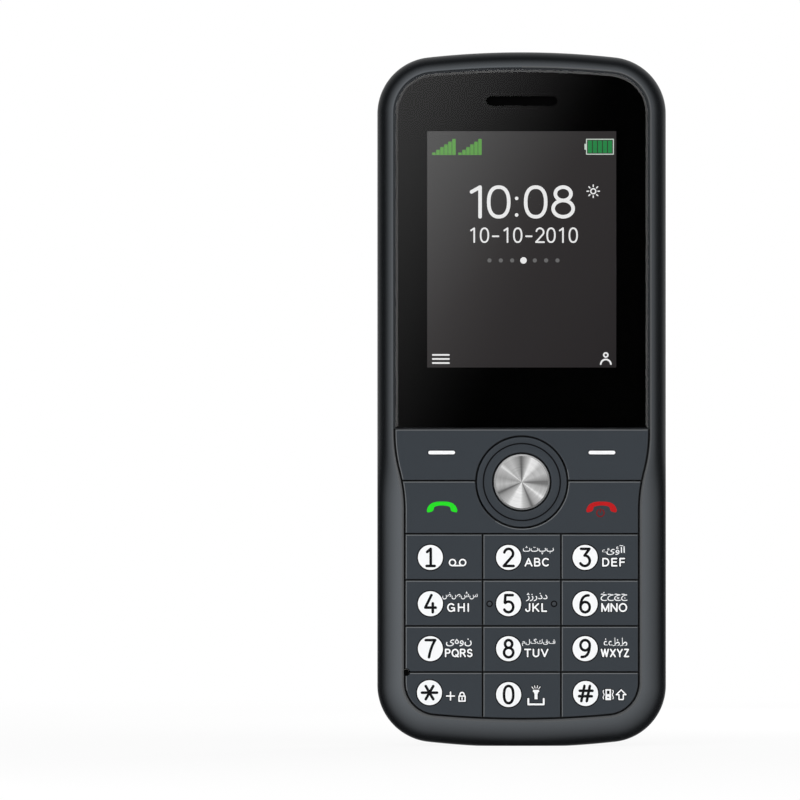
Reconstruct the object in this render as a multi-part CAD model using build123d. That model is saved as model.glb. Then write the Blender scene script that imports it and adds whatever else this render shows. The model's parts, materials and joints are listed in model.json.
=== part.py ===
from build123d import *
import math
import os

# All lengths are millimetres and all angles are degrees.
# X runs across the phone, Z up its length, and depth is counted from the front rim towards the back (+Y).

# Outer body
body_width = 48.4
body_height = 116.35
body_depth = 14.0
end_radius = 142.5
body_corner = 9.56
front_round = 4.4
back_round = 4.6
rest_flat_width = 15.0
shell_parting_depth = 5.0
shell_wall = 2.0
overrun = 5.0

# Front face opening: the window at the top and the keys below it
gap_width = 0.3
window_rim = 2.91
window_top_rim = 2.88
window_end_radius = 160.6
window_corner = 6.7
waist_top_drop = 0.59
waist_bottom_rise = 3.91
keypad_rim = 4.62
keypad_bottom_z = 4.64
keypad_end_radius = 159.0
keypad_corner = 5.4

# Display window
window_setback = 0.35
window_thickness = 1.1
window_chamfer = 0.4
ledge_thickness = 0.85
earpiece_drop = 5.37
earpiece_slot_width = 11.9
earpiece_slot_height = 1.54
earpiece_mesh_thickness = 0.2
earpiece_mesh_margin = 0.5
earpiece_duct_width = 8.0
receiver_width = 12.0
receiver_height = 5.2
receiver_thickness = 1.9
receiver_corner = 1.2
receiver_drop = 0.1

# Display
screen_side_border = 5.45
screen_top_border = 10.42
screen_chin = 10.26
aperture_margin = 0.4
panel_side_border = 1.5
panel_top_border = 1.6
panel_bottom_border = 3.4
panel_thickness = 1.5
gasket_thickness = 0.3
gasket_width = 1.2
tray_wall = 0.5
tray_floor = 0.3
tray_clearance = 0.1
flex_width = 16.0
flex_length = 3.6
flex_thickness = 0.15

# Keys
key_proud = 0.2
key_cap_thickness = 1.5
key_chamfer = 0.15
key_travel = 0.35
press_clearance = 0.05
key_foot_inset = 1.1
key_post_radius = 1.2
post_clearance = 0.2
column_line = 6.56
bottom_row_height = 7.79
number_pitch = 7.72
call_row_height = 8.89
softkey_row_height = 8.71
softkey_post_rise = 4.72
call_post_drop = 4.48
bar_foot_inner_gap = 1.22
bar_foot_outer_gap = 1.68
bar_foot_height = 3.4

# Navigation ring and select key
nav_drop = 0.22
nav_gap_radius = 7.68
nav_proud = 0.35
nav_inner_radius = 4.95
nav_groove_radius = 6.44
nav_groove_width = 0.2
nav_groove_depth = 0.12
nav_post_radius = 0.7
nav_post_circle = 6.45
rocker_inner_radius = 2.0
rocker_outer_radius = 5.4
rocker_thickness = 0.35
rocker_clearance = 0.3
select_radius = 4.71
select_proud = 0.45
select_thickness = 1.3
select_bevel = 0.3
select_cone = 0.15

# Keypad mat, contact domes and microphone
mat_thickness = 0.6
mat_flange = 1.2
mat_rim_width = 0.9
dome_height = 0.25
dome_radius = 2.0
nav_dome_radius = 1.1
dome_film = 0.1
film_margin = 1.0
mic_edge = 0.23
mic_z = 12.42
mic_hole_radius = 0.5
mic_radius = 1.75
mic_height = 1.0
mic_inset = 0.9
mic_boot_wall = 0.3

# Main board and the parts soldered to it
board_thickness = 1.0
board_clearance = 0.3
part_gap = 0.2
shield_height = 1.5
shield_wall = 0.2
shield_side_gap = 2.8
shield_camera_gap = 1.85
shield_top_drop = 27.35
baseband_low_gap = 3.0
radio_motor_gap = 2.0
motor_side_gap = 4.3
motor_rise = 7.0
motor_radius = 4.0
motor_thickness = 2.7
motor_cap = 0.3
reader_height = 1.25
reader_wall = 0.2
sim_side_gap = 0.6
sim_middle_gap = 1.0
sim_length = 14.0
memory_width = 12.6
memory_length = 12.0
low_room_share = 0.285
middle_room_share = 0.222

# Battery and its bay
battery_side_room = 7.2
battery_back_gap = 0.55
battery_corner = 1.5
battery_edge = 0.5
battery_bottom_z = 12.3
battery_clearance = 0.3
bay_wall = 1.0
bay_floor = 0.7
reader_clearance = 0.3
floor_gap = 0.6
contact_block_width = 9.0
contact_block_length = 2.2
contact_block_height = 3.4
contact_count = 3
contact_pitch = 2.6
contact_width = 1.1
contact_thickness = 0.5
contact_reach_gap = 0.2
channel_width = 2.6
channel_end = 4.0

# Rear shell, deck and loudspeaker
cavity_inset = 3.4
deck_thickness = 1.0
deck_length = 49.75
speaker_drop = 20.15
speaker_width = 22.0
speaker_height = 12.0
speaker_thickness = 3.4
speaker_corner = 2.5
speaker_cone_margin = 1.6
speaker_dish = 0.6
sound_width = 17.0
sound_height = 7.6
sound_corner = 2.0
mesh_margin = 0.9
mesh_thickness = 0.25
antenna_side_gap = 3.8
antenna_height = 6.4
antenna_drop = 8.95
antenna_thickness = 0.25
antenna_slot = 1.0
antenna_slots = 5

# Back cover and the perforated disc in it
cover_thickness = 1.0
cover_gap = 0.25
seam_gap = 0.15
cover_side_rise = 5.0
cover_end_rise = 1.2
cover_end_zone = 2.5
cover_drop_zone = 7.5
camera_drop = 31.95
disc_radius = 16.5
disc_groove_width = 0.25
disc_groove_depth = 0.12
hole_radius = 0.475
dimple_depth = 0.3
ring_radii = (15.64, 14.0, 12.44, 10.8)
ring_counts = (48, 40, 40, 36)
ring_phases = (0.5, 0.0, 0.5, 0.0)
ring_sectors = (42.0, 37.0, 32.0, 31.0)

# Camera and its trim on the cover
bezel_outer_radius = 10.0
bezel_crest_radius = 8.35
bezel_bore_radius = 7.9
bezel_proud = 0.7
bezel_spigot_radius = 8.9
bezel_seat = 1.3
trim_outer_radius = 7.85
trim_inner_radius = 7.27
trim_recess = 0.1
glass_recess = 0.3
glass_thickness = 0.6
glass_clearance = 0.04
glass_hole_radius = 1.62
inner_ring_outer = 4.28
inner_ring_inner = 3.2
inner_ring_proud = 0.15
inner_ring_groove = 0.25
lens_radius = 1.54
lens_dome = 0.25
module_size = 8.5
module_deck_gap = 1.75
barrel_radius = 3.1
barrel_gap = 0.4
barrel_bore_radius = 1.2
barrel_bore_depth = 0.8
camera_window_radius = 4.2

# Sockets and torch in the top end
jack_inset = 13.0
jack_bore_radius = 1.75
jack_bore_length = 11.0
jack_width = 6.0
jack_thickness = 5.2
jack_length = 8.8
jack_nose_radius = 2.6
jack_recess = 0.8
usb_inset = 13.0
usb_width = 7.5
usb_thickness = 2.6
usb_length = 5.2
usb_wall = 0.25
usb_tongue_width = 4.0
usb_tongue_thickness = 0.6
usb_tongue_length = 3.6
usb_recess = 0.7
usb_edge = 0.5
socket_clearance = 0.25
torch_depth_from_board = 1.9
torch_led_width = 3.0
torch_led_height = 1.6
torch_lens_radius = 1.8
torch_lens_length = 3.1
torch_lens_recess = 0.15

# Housing screws
screw_head_radius = 1.3
screw_head_height = 0.8
screw_shank_radius = 0.7
screw_length = 5.0
screw_slot_width = 0.4
screw_slot_depth = 0.35
screw_clearance = 0.06
screw_head_clearance = 0.3
boss_radius = 1.7
boss_seat_depth = 7.6
screw_top_inset = 5.2
screw_top_drop = 6.15
screw_middle_inset = 4.0
screw_middle_rise = 15.21
screw_bottom_inset = 4.9
screw_bottom_z = 5.3

# Depths that follow from the stack
window_back = window_setback + window_thickness
plate_back = window_back + ledge_thickness
gasket_back = plate_back + gasket_thickness
panel_back = gasket_back + panel_thickness
board_front = panel_back + tray_floor
board_back = board_front + board_thickness
floor_front = board_back + floor_gap
floor_back = floor_front + bay_floor
battery_front = floor_back + battery_clearance / 2
cover_inner = body_depth - cover_thickness
cover_side_depth = body_depth - cover_side_rise
cover_end_depth = body_depth - cover_end_rise
battery_back = cover_inner - battery_back_gap
deck_back = cover_inner - cover_gap
deck_front = deck_back - deck_thickness
key_front = -key_proud
key_cap_back = key_front + key_cap_thickness
mat_front = plate_back
mat_back = mat_front + mat_thickness
foot_back = mat_front - key_travel - press_clearance
film_front = board_front - dome_film
dome_top = film_front - dome_height
post_end = dome_top - key_travel - press_clearance
rocker_back = mat_front - rocker_clearance
rocker_front = rocker_back - rocker_thickness
depth_mid = (body_depth + bezel_proud - select_proud) / 2

# Places that follow from the sizes above
half_width = body_width / 2
cavity_half = half_width - cavity_inset
window_half = half_width - window_rim
keypad_half = half_width - keypad_rim
window_top_z = body_height - window_top_rim
earpiece_z = window_top_z - earpiece_drop
number_top_z = keypad_bottom_z + bottom_row_height + 3 * number_pitch
bar_line_z = number_top_z + call_row_height
seam_z = bar_line_z + softkey_row_height
waist_top_z = seam_z - waist_top_drop
waist_bottom_z = number_top_z + waist_bottom_rise
row_lines = [number_top_z - row * number_pitch for row in range(4)] + [keypad_bottom_z]
column_x = (column_line + keypad_half) / 2
nav_z = bar_line_z - nav_drop
softkey_post_z = bar_line_z + softkey_post_rise
call_post_z = bar_line_z - call_post_drop
bar_foot_low_x = nav_gap_radius + bar_foot_inner_gap
bar_foot_high_x = keypad_half - bar_foot_outer_gap
bar_foot_width = bar_foot_high_x - bar_foot_low_x
bar_post_x = (bar_foot_low_x + bar_foot_high_x) / 2
mic_x = mic_edge - keypad_half

# The lit display is what the borders leave of the window
active_width = 2 * (window_half - screen_side_border)
active_bottom_z = seam_z + screen_chin
active_height = window_top_z - screen_top_border - active_bottom_z
display_z = active_bottom_z + active_height / 2
panel_low_z = active_bottom_z - panel_bottom_border
panel_high_z = active_bottom_z + active_height + panel_top_border

# The battery fills its bay, between the lower end and the deck
deck_low_z = body_height - deck_length
bay_high_z = deck_low_z - bay_wall
bay_low_z = battery_bottom_z - battery_clearance
battery_width = 2 * (half_width - battery_side_room)
battery_height = bay_high_z - battery_clearance - battery_bottom_z
battery_z = battery_bottom_z + battery_height / 2

# Places on the board, the card holders spread along the battery
camera_z = body_height - camera_drop
speaker_z = body_height - speaker_drop
antenna_z = body_height - antenna_drop
antenna_width = 2 * (cavity_half - antenna_side_gap)
shield_low_x = module_size / 2 + shield_camera_gap
shield_width = cavity_half - shield_side_gap - shield_low_x
shield_x = shield_low_x + shield_width / 2
shield_high_z = body_height - shield_top_drop
motor_x = cavity_half - motor_side_gap - motor_radius
motor_z = deck_low_z + motor_rise
baseband_low_z = deck_low_z + baseband_low_gap
radio_low_z = motor_z + motor_radius + radio_motor_gap
sim_width = battery_width / 2 - sim_side_gap - sim_middle_gap
sim_x = sim_middle_gap + sim_width / 2
reader_room = battery_height - sim_length - memory_length
sim_z = battery_bottom_z + low_room_share * reader_room + sim_length / 2
memory_z = sim_z + sim_length / 2 + middle_room_share * reader_room + memory_length / 2
jack_x = jack_inset - half_width
usb_x = half_width - usb_inset
jack_depth = board_back + jack_thickness / 2
usb_depth = board_back + usb_thickness / 2
torch_depth = board_back + torch_depth_from_board

nodes = {}


def depth_y(depth):
    """Y of a plane that lies this deep behind the front rim."""
    return depth - depth_mid


def face_plane(depth):
    """A drawing plane seen from the front: local x is X and local y is Z."""
    return Plane(origin=(0, depth_y(depth), 0), x_dir=(1, 0, 0), z_dir=(0, -1, 0))


def slab(sketch, front, back):
    """A sketch of the front view, made solid between two depths."""
    return extrude(face_plane(back) * sketch, amount=back - front, dir=(0, -1, 0))


def plate(x, z, width, height, front, back, corner=0.0):
    """A block centred at x, z, with rounded corners where corner is given."""
    shape = RectangleRounded(width, height, corner) if corner else Rectangle(width, height)
    return slab(Pos(x, z) * shape, front, back)


def disc(x, z, radius, front, back):
    return slab(Pos(x, z) * Circle(radius), front, back)


def tube(x, z, outer, inner, front, back):
    return slab(Pos(x, z) * (Circle(outer) - Circle(inner)), front, back)


def upright_rod(x, depth, radius, low_z, high_z):
    """A cylinder along Z, for the sockets in the top end."""
    rod = Cylinder(radius, high_z - low_z, align=(Align.CENTER, Align.CENTER, Align.MIN))
    return Pos(x, depth_y(depth), low_z) * rod


def upright_block(x, depth, width, thickness, low_z, high_z):
    """A block given by its centre in x and depth, its size there and its heights."""
    block = Box(width, thickness, high_z - low_z, align=(Align.CENTER, Align.CENTER, Align.MIN))
    return Pos(x, depth_y(depth), low_z) * block


def end_drop(x):
    """How far the curved end lies below its highest point, this far from the middle."""
    return end_radius - math.sqrt(end_radius**2 - x**2)


def end_edges(half, end_z, radius, corner, up):
    """Right half of a rounded end: a shallow end arc and a corner arc, tangent to each other and the side."""
    centre_z = end_z - up * radius
    corner_x = half - corner
    rise = math.sqrt((radius - corner) ** 2 - corner_x**2)
    corner_z = centre_z + up * rise
    lean = math.atan2(corner_x, rise)
    swing = (math.pi / 2 - lean) / 2
    join = (radius * math.sin(lean), centre_z + up * radius * math.cos(lean))
    arc_mid = (radius * math.sin(lean / 2), centre_z + up * radius * math.cos(lean / 2))
    corner_mid = (corner_x + corner * math.cos(swing), corner_z + up * corner * math.sin(swing))
    side = (half, corner_z)
    return [ThreePointArc((0, end_z), arc_mid, join), ThreePointArc(join, corner_mid, side)], side


def s_curve(start, end, direction):
    """Two equal arcs that meet half way, both leaving along the given direction."""
    middle = ((start[0] + end[0]) / 2, (start[1] + end[1]) / 2)
    back = (-direction[0], -direction[1])
    return [TangentArc(start, middle, tangent=direction), TangentArc(end, middle, tangent=back)]


def closed_face(right_edges):
    """A face from the right half of a symmetric outline."""
    return make_face(right_edges + [mirror(edge, about=Plane.YZ) for edge in right_edges])


def body_outline(inset):
    """The phone's own outline, seen from the front, drawn in by an inset."""
    flat_drop = end_drop(rest_flat_width / 2)
    half = half_width - inset
    radius = end_radius - inset
    corner = body_corner - inset
    top, top_side = end_edges(half, body_height - inset, radius, corner, 1)
    bottom, bottom_side = end_edges(half, inset - flat_drop, radius, corner, -1)
    return closed_face(top + [Line(top_side, bottom_side)] + bottom)


def face_outline(grow):
    """The dark gap round window and keys, let out or drawn in: wide at the window, narrower at the keys."""
    upper = window_half + grow
    lower = keypad_half + grow
    top, top_side = end_edges(
        upper, window_top_z + grow, window_end_radius + grow, window_corner + grow, 1
    )
    bottom, bottom_side = end_edges(
        lower, keypad_bottom_z - grow, keypad_end_radius + grow, keypad_corner + grow, -1
    )
    waist = s_curve((upper, waist_top_z), (lower, waist_bottom_z), (0, -1))
    sides = [Line(top_side, (upper, waist_top_z)), Line((lower, waist_bottom_z), bottom_side)]
    return closed_face(top + sides + waist + bottom)


def band(low_z, high_z):
    """A strip across the whole front view, for taking part of an outline."""
    return Pos(0, (low_z + high_z) / 2) * Rectangle(body_width + 2 * overrun, high_z - low_z)


def cut_below_rest(shape):
    """Levels the bottom end where the phone stands."""
    reach = body_width + overrun
    return shape - Box(reach, reach, reach, align=(Align.CENTER, Align.CENTER, Align.MAX))


def rounded_form(inset, front, back, front_radius, back_radius):
    """The body outline between two depths, with its front and back edges rounded over."""
    form = slab(body_outline(inset), front, back)
    if front_radius:
        form = fillet(form.edges().group_by(Axis.Y)[0], front_radius)
    if back_radius:
        form = fillet(form.edges().group_by(Axis.Y)[-1], back_radius)
    return form


def cover_region(grow):
    """Everything behind the cover's seam: deep at the sides, shallow at the two ends."""
    far = depth_y(body_depth + overrun)
    end_y = depth_y(cover_end_depth - grow)
    side_y = depth_y(cover_side_depth - grow)
    low = cover_end_zone
    high = body_height - cover_end_zone
    low_side = low + cover_drop_zone
    high_side = high - cover_drop_zone
    edges = [
        Line((far, -overrun), (end_y, -overrun)),
        Line((end_y, -overrun), (end_y, low)),
        Line((side_y, low_side), (side_y, high_side)),
        Line((end_y, high), (end_y, body_height + overrun)),
        Line((end_y, body_height + overrun), (far, body_height + overrun)),
        Line((far, body_height + overrun), (far, -overrun)),
    ]
    edges += s_curve((end_y, low), (side_y, low_side), (0, 1))
    edges += s_curve((side_y, high_side), (end_y, high), (0, 1))
    return extrude(Plane.YZ * make_face(edges), amount=half_width + overrun, both=True)


# Screw places, right side first
screw_places = [
    (side * x, z)
    for x, z in (
        (half_width - screw_top_inset, body_height - screw_top_drop),
        (half_width - screw_middle_inset, seam_z + screw_middle_rise),
        (half_width - screw_bottom_inset, screw_bottom_z),
    )
    for side in (1, -1)
]

envelope = cut_below_rest(rounded_form(0, 0, body_depth, front_round, back_round))
screw_tip = boss_seat_depth - screw_length

# Front shell: side walls, the ledge that carries the window, and the key opening
front_solid = envelope & slab(body_outline(-overrun / 2), -overrun, shell_parting_depth)
front_cavity = slab(body_outline(shell_wall), plate_back, shell_parting_depth + overrun)
front_shell = front_solid - front_cavity
front_shell -= slab(face_outline(gap_width / 2), -overrun, window_back)
front_shell -= slab(face_outline(gap_width / 2) & band(-overrun, seam_z), -overrun, plate_back + overrun)
front_shell -= plate(
    0,
    display_z,
    active_width + 2 * aperture_margin,
    active_height + 2 * aperture_margin,
    0,
    plate_back + overrun,
)
front_shell -= slab(
    Pos(0, earpiece_z) * SlotOverall(earpiece_duct_width, earpiece_slot_height), 0, plate_back + overrun
)
boss_front = plate_back - press_clearance
boss_ring = slab(body_outline(shell_wall / 2), boss_front, board_front)
pilot_radius = screw_shank_radius + screw_clearance
for x, z in screw_places:
    front_shell += disc(x, z, boss_radius, boss_front, board_front) & boss_ring
for x, z in screw_places:
    front_shell -= disc(x, z, pilot_radius, screw_tip - press_clearance, board_back)
nodes["front_housing"] = front_shell

# Window: one clear plate with a bevelled front edge and the earpiece slot
window_sketch = face_outline(-gap_width / 2) & band(seam_z + gap_width / 2, body_height + overrun)
window = slab(window_sketch, window_setback, window_back)
window = chamfer(window.edges().group_by(Axis.Y)[0], window_chamfer)
window -= slab(
    Pos(0, earpiece_z) * SlotOverall(earpiece_slot_width, earpiece_slot_height), 0, plate_back
)
mesh_front = window_back - earpiece_mesh_thickness
mesh_seat_width = earpiece_slot_width + 2 * earpiece_mesh_margin
mesh_seat_height = earpiece_slot_height + 2 * earpiece_mesh_margin
window -= slab(Pos(0, earpiece_z) * SlotOverall(mesh_seat_width, mesh_seat_height), mesh_front, plate_back)
nodes["display_window"] = window
mesh_slot = SlotOverall(mesh_seat_width - press_clearance, mesh_seat_height - press_clearance)
nodes["earpiece_mesh"] = slab(Pos(0, earpiece_z) * mesh_slot, mesh_front, window_back)

# Earpiece speaker, on the back of the ledge above the display
receiver_z = earpiece_z - receiver_drop
receiver_back = plate_back + receiver_thickness
nodes["earpiece_speaker"] = plate(
    0, receiver_z, receiver_width, receiver_height, plate_back, receiver_back, receiver_corner
)

# Display panel, its foam gasket, its tray and the flexible lead
panel_width = active_width + 2 * panel_side_border
panel_height = panel_high_z - panel_low_z
panel_z = (panel_high_z + panel_low_z) / 2
gasket_hole = Pos(0, display_z) * Rectangle(active_width + aperture_margin, active_height + aperture_margin)
gasket_frame = Pos(0, display_z) * Rectangle(
    active_width + 2 * gasket_width, active_height + 2 * gasket_width
)
nodes["display_gasket"] = slab(gasket_frame - gasket_hole, plate_back, gasket_back)
nodes["lcd_panel"] = plate(0, panel_z, panel_width, panel_height, gasket_back, panel_back)
tray_width = panel_width + 2 * (tray_clearance + tray_wall)
tray_height = panel_height + 2 * (tray_clearance + tray_wall)
tray = plate(0, panel_z, tray_width, tray_height, gasket_back, board_front)
tray -= plate(
    0, panel_z, tray_width - 2 * tray_wall, tray_height - 2 * tray_wall, gasket_back - overrun, panel_back
)
flex_top_z = panel_low_z - tray_clearance - tray_wall
flex_notch = flex_width + 2 * press_clearance
tray -= plate(0, flex_top_z, flex_notch, 2 * tray_wall, gasket_back - overrun, board_front)
nodes["lcd_frame"] = tray
flex_reach = plate(
    0,
    panel_low_z - (tray_wall + tray_clearance) / 2,
    flex_width,
    tray_wall + tray_clearance,
    panel_back - flex_thickness,
    panel_back,
)
flex_fall_z = flex_top_z - flex_thickness / 2
flex_fall = plate(0, flex_fall_z, flex_width, flex_thickness, panel_back - flex_thickness, board_front)
flex_tail = plate(
    0, flex_top_z - flex_length / 2, flex_width, flex_length, board_front - flex_thickness, board_front
)
nodes["lcd_flex"] = flex_reach + flex_fall + flex_tail

# Key tops: every key is a cap, a foot under it and a post that presses its contact dome
key_field = face_outline(-gap_width / 2)


def finish_cap(cap):
    """Breaks the front edge of a key top."""
    return chamfer(cap.edges().group_by(Axis.Y)[0], key_chamfer)


def cell(low_x, high_x, low_z, high_z, inset):
    centre = Pos((low_x + high_x) / 2, (low_z + high_z) / 2)
    return centre * Rectangle(high_x - low_x - 2 * inset, high_z - low_z - 2 * inset)


def number_key(low_x, high_x, low_z, high_z, post_x, post_z):
    """A number key: the part of the key field inside its cell."""
    inset = gap_width / 2
    foot_inset = inset + key_foot_inset
    cap = finish_cap(slab(key_field & cell(low_x, high_x, low_z, high_z, inset), key_front, key_cap_back))
    foot_field = face_outline(-foot_inset) & cell(low_x, high_x, low_z, high_z, foot_inset)
    foot = slab(foot_field, key_cap_back, foot_back)
    post = disc(post_x, post_z, key_post_radius, foot_back, post_end)
    return cap + foot + post


key_names = [
    ["key_1", "key_2", "key_3"],
    ["key_4", "key_5", "key_6"],
    ["key_7", "key_8", "key_9"],
    ["key_star", "key_0", "key_hash"],
]
column_lines = [-keypad_half - overrun, -column_line, column_line, keypad_half + overrun]
column_posts = [-column_x, 0, column_x]
mic_cut = disc(mic_x, mic_z, mic_hole_radius + gap_width / 2, -overrun, plate_back)
posts = []
for row, names in enumerate(key_names):
    for column, name in enumerate(names):
        low_z = row_lines[row + 1]
        high_z = row_lines[row]
        post_x = column_posts[column]
        post_z = (low_z + high_z) / 2
        cell_low_z = low_z if row < len(key_names) - 1 else low_z - overrun
        nodes[name] = number_key(
            column_lines[column], column_lines[column + 1], cell_low_z, high_z, post_x, post_z
        )
        posts.append((post_x, post_z, key_post_radius, dome_radius))
for name in ("key_7", "key_star"):
    nodes[name] -= mic_cut


def function_bar(low_z, high_z, post_z):
    """A plate with a key at each end, cut out round the navigation ring, that rocks to either side."""
    strip = key_field & band(low_z + gap_width / 2, high_z - gap_width / 2)
    strip -= Pos(0, nav_z) * Circle(nav_gap_radius + gap_width / 2)
    bar = finish_cap(slab(strip, key_front, key_cap_back))
    for side in (1, -1):
        post_x = side * bar_post_x
        bar += plate(post_x, post_z, bar_foot_width, bar_foot_height, key_cap_back, foot_back)
        bar += disc(post_x, post_z, key_post_radius, foot_back, post_end)
        posts.append((post_x, post_z, key_post_radius, dome_radius))
    return bar


nodes["softkey_bar"] = function_bar(bar_line_z, seam_z, softkey_post_z)
nodes["call_bar"] = function_bar(number_top_z, bar_line_z, call_post_z)

# Navigation ring with its groove and four posts
nav_outer_radius = nav_gap_radius - gap_width / 2
nav_front = -nav_proud
ring = finish_cap(tube(0, nav_z, nav_outer_radius, nav_inner_radius, nav_front, key_cap_back))
ring -= tube(
    0,
    nav_z,
    nav_groove_radius + nav_groove_width / 2,
    nav_groove_radius - nav_groove_width / 2,
    nav_front - overrun,
    nav_front + nav_groove_depth,
)
for step in range(4):
    angle = math.radians(step * 90)
    post_x = nav_post_circle * math.cos(angle)
    post_z = nav_z + nav_post_circle * math.sin(angle)
    ring += disc(post_x, post_z, nav_post_radius, key_cap_back, post_end)
    posts.append((post_x, post_z, nav_post_radius, nav_dome_radius))
nodes["nav_ring"] = ring
nodes["nav_rocker"] = tube(0, nav_z, rocker_outer_radius, rocker_inner_radius, rocker_front, rocker_back)

# Select key: a bevelled metal disc, dished to a very flat cone
select_front = -select_proud
select = disc(0, nav_z, select_radius, select_front, select_front + select_thickness)
select = chamfer(select.edges().group_by(Axis.Y)[0], select_bevel)
cone_radius = select_radius - select_bevel
cone = Cone(cone_radius, 0, select_cone)
select -= Pos(0, depth_y(select_front) + select_cone / 2, nav_z) * (Rot(-90, 0, 0) * cone)
select += disc(0, nav_z, key_post_radius, select_front + select_thickness, post_end)
nodes["select_key"] = select
posts.append((0, nav_z, key_post_radius, dome_radius))

# Keypad mat: a sheet under the keys with guide holes and a rim that stands on the board
mat_room = body_outline(shell_wall + board_clearance)
mat_sketch = face_outline(mat_flange) & mat_room & band(-overrun, seam_z + mat_flange)
mat_core = face_outline(mat_flange - mat_rim_width) & band(-overrun, seam_z + mat_flange - mat_rim_width)
mat = slab(mat_sketch, mat_front, mat_back)
mat += slab(mat_sketch - mat_core, mat_front, board_front)
for post_x, post_z, radius, _ in posts:
    mat -= disc(post_x, post_z, radius + post_clearance, mat_front - overrun, mat_back + press_clearance)
mic_centre_x = mic_x + mic_inset
mat -= disc(mic_x, mic_z, mic_hole_radius, mat_front - overrun, mat_back + press_clearance)
mat -= disc(mic_centre_x, mic_z, mic_radius + mic_boot_wall + press_clearance, mat_back, board_front)
for x, z in screw_places:
    mat -= disc(x, z, boss_radius + post_clearance, mat_front - overrun, board_front + overrun)
nodes["keypad_mat"] = mat

# Contact domes on one film
film_sketch = face_outline(-film_margin) & band(-overrun, seam_z - film_margin)
domes = slab(film_sketch, film_front, board_front)
domes -= disc(mic_centre_x, mic_z, mic_radius + mic_boot_wall + post_clearance, mat_back, board_front)
for post_x, post_z, _, radius in posts:
    cap_radius = (radius**2 + dome_height**2) / (2 * dome_height)
    ball = Pos(post_x, depth_y(dome_top) + cap_radius, post_z) * Sphere(cap_radius)
    domes += ball & disc(post_x, post_z, radius, dome_top - overrun, film_front + dome_film / 2)
nodes["dome_sheet"] = domes

# Microphone and its rubber boot
mic_front = board_front - mic_height
microphone = disc(mic_centre_x, mic_z, mic_radius, mic_front, board_front)
nodes["microphone"] = microphone
boot = disc(mic_centre_x, mic_z, mic_radius + mic_boot_wall, mat_back, board_front) - microphone
boot -= disc(mic_x, mic_z, mic_hole_radius, mat_back - overrun, mic_front)
nodes["microphone_boot"] = boot

# Main board with notches for screws
board = slab(body_outline(shell_wall + board_clearance), board_front, board_back)
board_hole_radius = screw_shank_radius + screw_head_clearance
for x, z in screw_places:
    board -= disc(x, z, board_hole_radius, board_front - overrun, board_back + overrun)
nodes["main_board"] = board

# Shield cans behind the board
inner_width = shield_width - 2 * shield_wall
for name, x, low_z in (
    ("baseband_shield", -shield_x, baseband_low_z),
    ("radio_shield", shield_x, radio_low_z),
):
    z = (low_z + shield_high_z) / 2
    height = shield_high_z - low_z
    can = plate(x, z, shield_width, height, board_back, board_back + shield_height, shield_wall)
    inner_height = height - 2 * shield_wall
    can -= plate(x, z, inner_width, inner_height, board_front, board_back + shield_height - shield_wall)
    nodes[name] = can

# Vibration motor, a coin with a smaller cap
motor = disc(motor_x, motor_z, motor_radius, board_back, board_back + motor_thickness - motor_cap)
motor += disc(
    motor_x,
    motor_z,
    motor_radius - motor_cap,
    board_back + motor_thickness - motor_cap,
    board_back + motor_thickness,
)
nodes["vibration_motor"] = motor


def card_reader(x, z, width, length):
    """A flat metal card holder, open at its lower end."""
    reader = plate(x, z, width, length, board_back, board_back + reader_height)
    slot_width = width - 2 * reader_wall
    slot_front = board_back + reader_wall
    slot_back = board_back + reader_height - reader_wall
    reader -= plate(x, z - reader_wall, slot_width, length, slot_front, slot_back)
    window_width = width / 2
    return reader - plate(x, z, window_width, length / 2, slot_back - reader_wall, slot_back + overrun)


nodes["sim_reader_left"] = card_reader(-sim_x, sim_z, sim_width, sim_length)
nodes["sim_reader_right"] = card_reader(sim_x, sim_z, sim_width, sim_length)
nodes["memory_card_reader"] = card_reader(0, memory_z, memory_width, memory_length)

# Battery contacts: a block behind the bay's end wall with spring blades that reach through it
block_low_z = deck_low_z + part_gap
block_z = block_low_z + contact_block_length / 2
contact_back = board_back + contact_block_height
contacts = plate(0, block_z, contact_block_width, contact_block_length, board_back, contact_back)
blade_low_z = battery_bottom_z + battery_height + contact_reach_gap
blade_z = (blade_low_z + block_low_z) / 2
blade_length = block_low_z - blade_low_z
blade_front = battery_front + contact_thickness
for step in range(contact_count):
    blade_x = (step - (contact_count - 1) / 2) * contact_pitch
    blade = plate(blade_x, blade_z, contact_width, blade_length, blade_front, blade_front + contact_thickness)
    contacts += blade
nodes["battery_contacts"] = contacts

# Rear shell
rear = envelope & slab(body_outline(-overrun / 2), shell_parting_depth, body_depth + overrun)
rear -= cover_region(seam_gap)
inner_inset = cover_thickness + cover_gap
inner_form = cut_below_rest(
    rounded_form(inner_inset, shell_parting_depth, deck_back, 0, back_round - inner_inset)
)
rear += inner_form
rear -= slab(body_outline(shell_wall), shell_parting_depth - overrun, board_back)
rear_hollow = body_outline(cavity_inset)
rear -= slab(rear_hollow, board_front, floor_front)
rear -= slab(rear_hollow & band(deck_low_z, body_height), board_front, deck_front)
bay_width = battery_width + 2 * battery_clearance
bay_height = bay_high_z - bay_low_z
bay_centre_z = (bay_low_z + bay_high_z) / 2
bay_corner = battery_corner + battery_clearance
rear -= plate(0, bay_centre_z, bay_width, bay_height, floor_back, body_depth + overrun, bay_corner)
channel_x = bay_width / 2 + bay_wall + channel_width / 2
channel_height = bay_height - 2 * channel_end
channel_back = cover_side_depth + cover_thickness
for side in (1, -1):
    rear -= plate(side * channel_x, bay_centre_z, channel_width, channel_height, board_front, channel_back)
for x, z, width, length in (
    (-sim_x, sim_z, sim_width, sim_length),
    (sim_x, sim_z, sim_width, sim_length),
    (0, memory_z, memory_width, memory_length),
):
    rear -= plate(
        x, z, width + 2 * reader_clearance, length + 2 * reader_clearance, board_front, floor_back + bay_floor
    )
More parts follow.
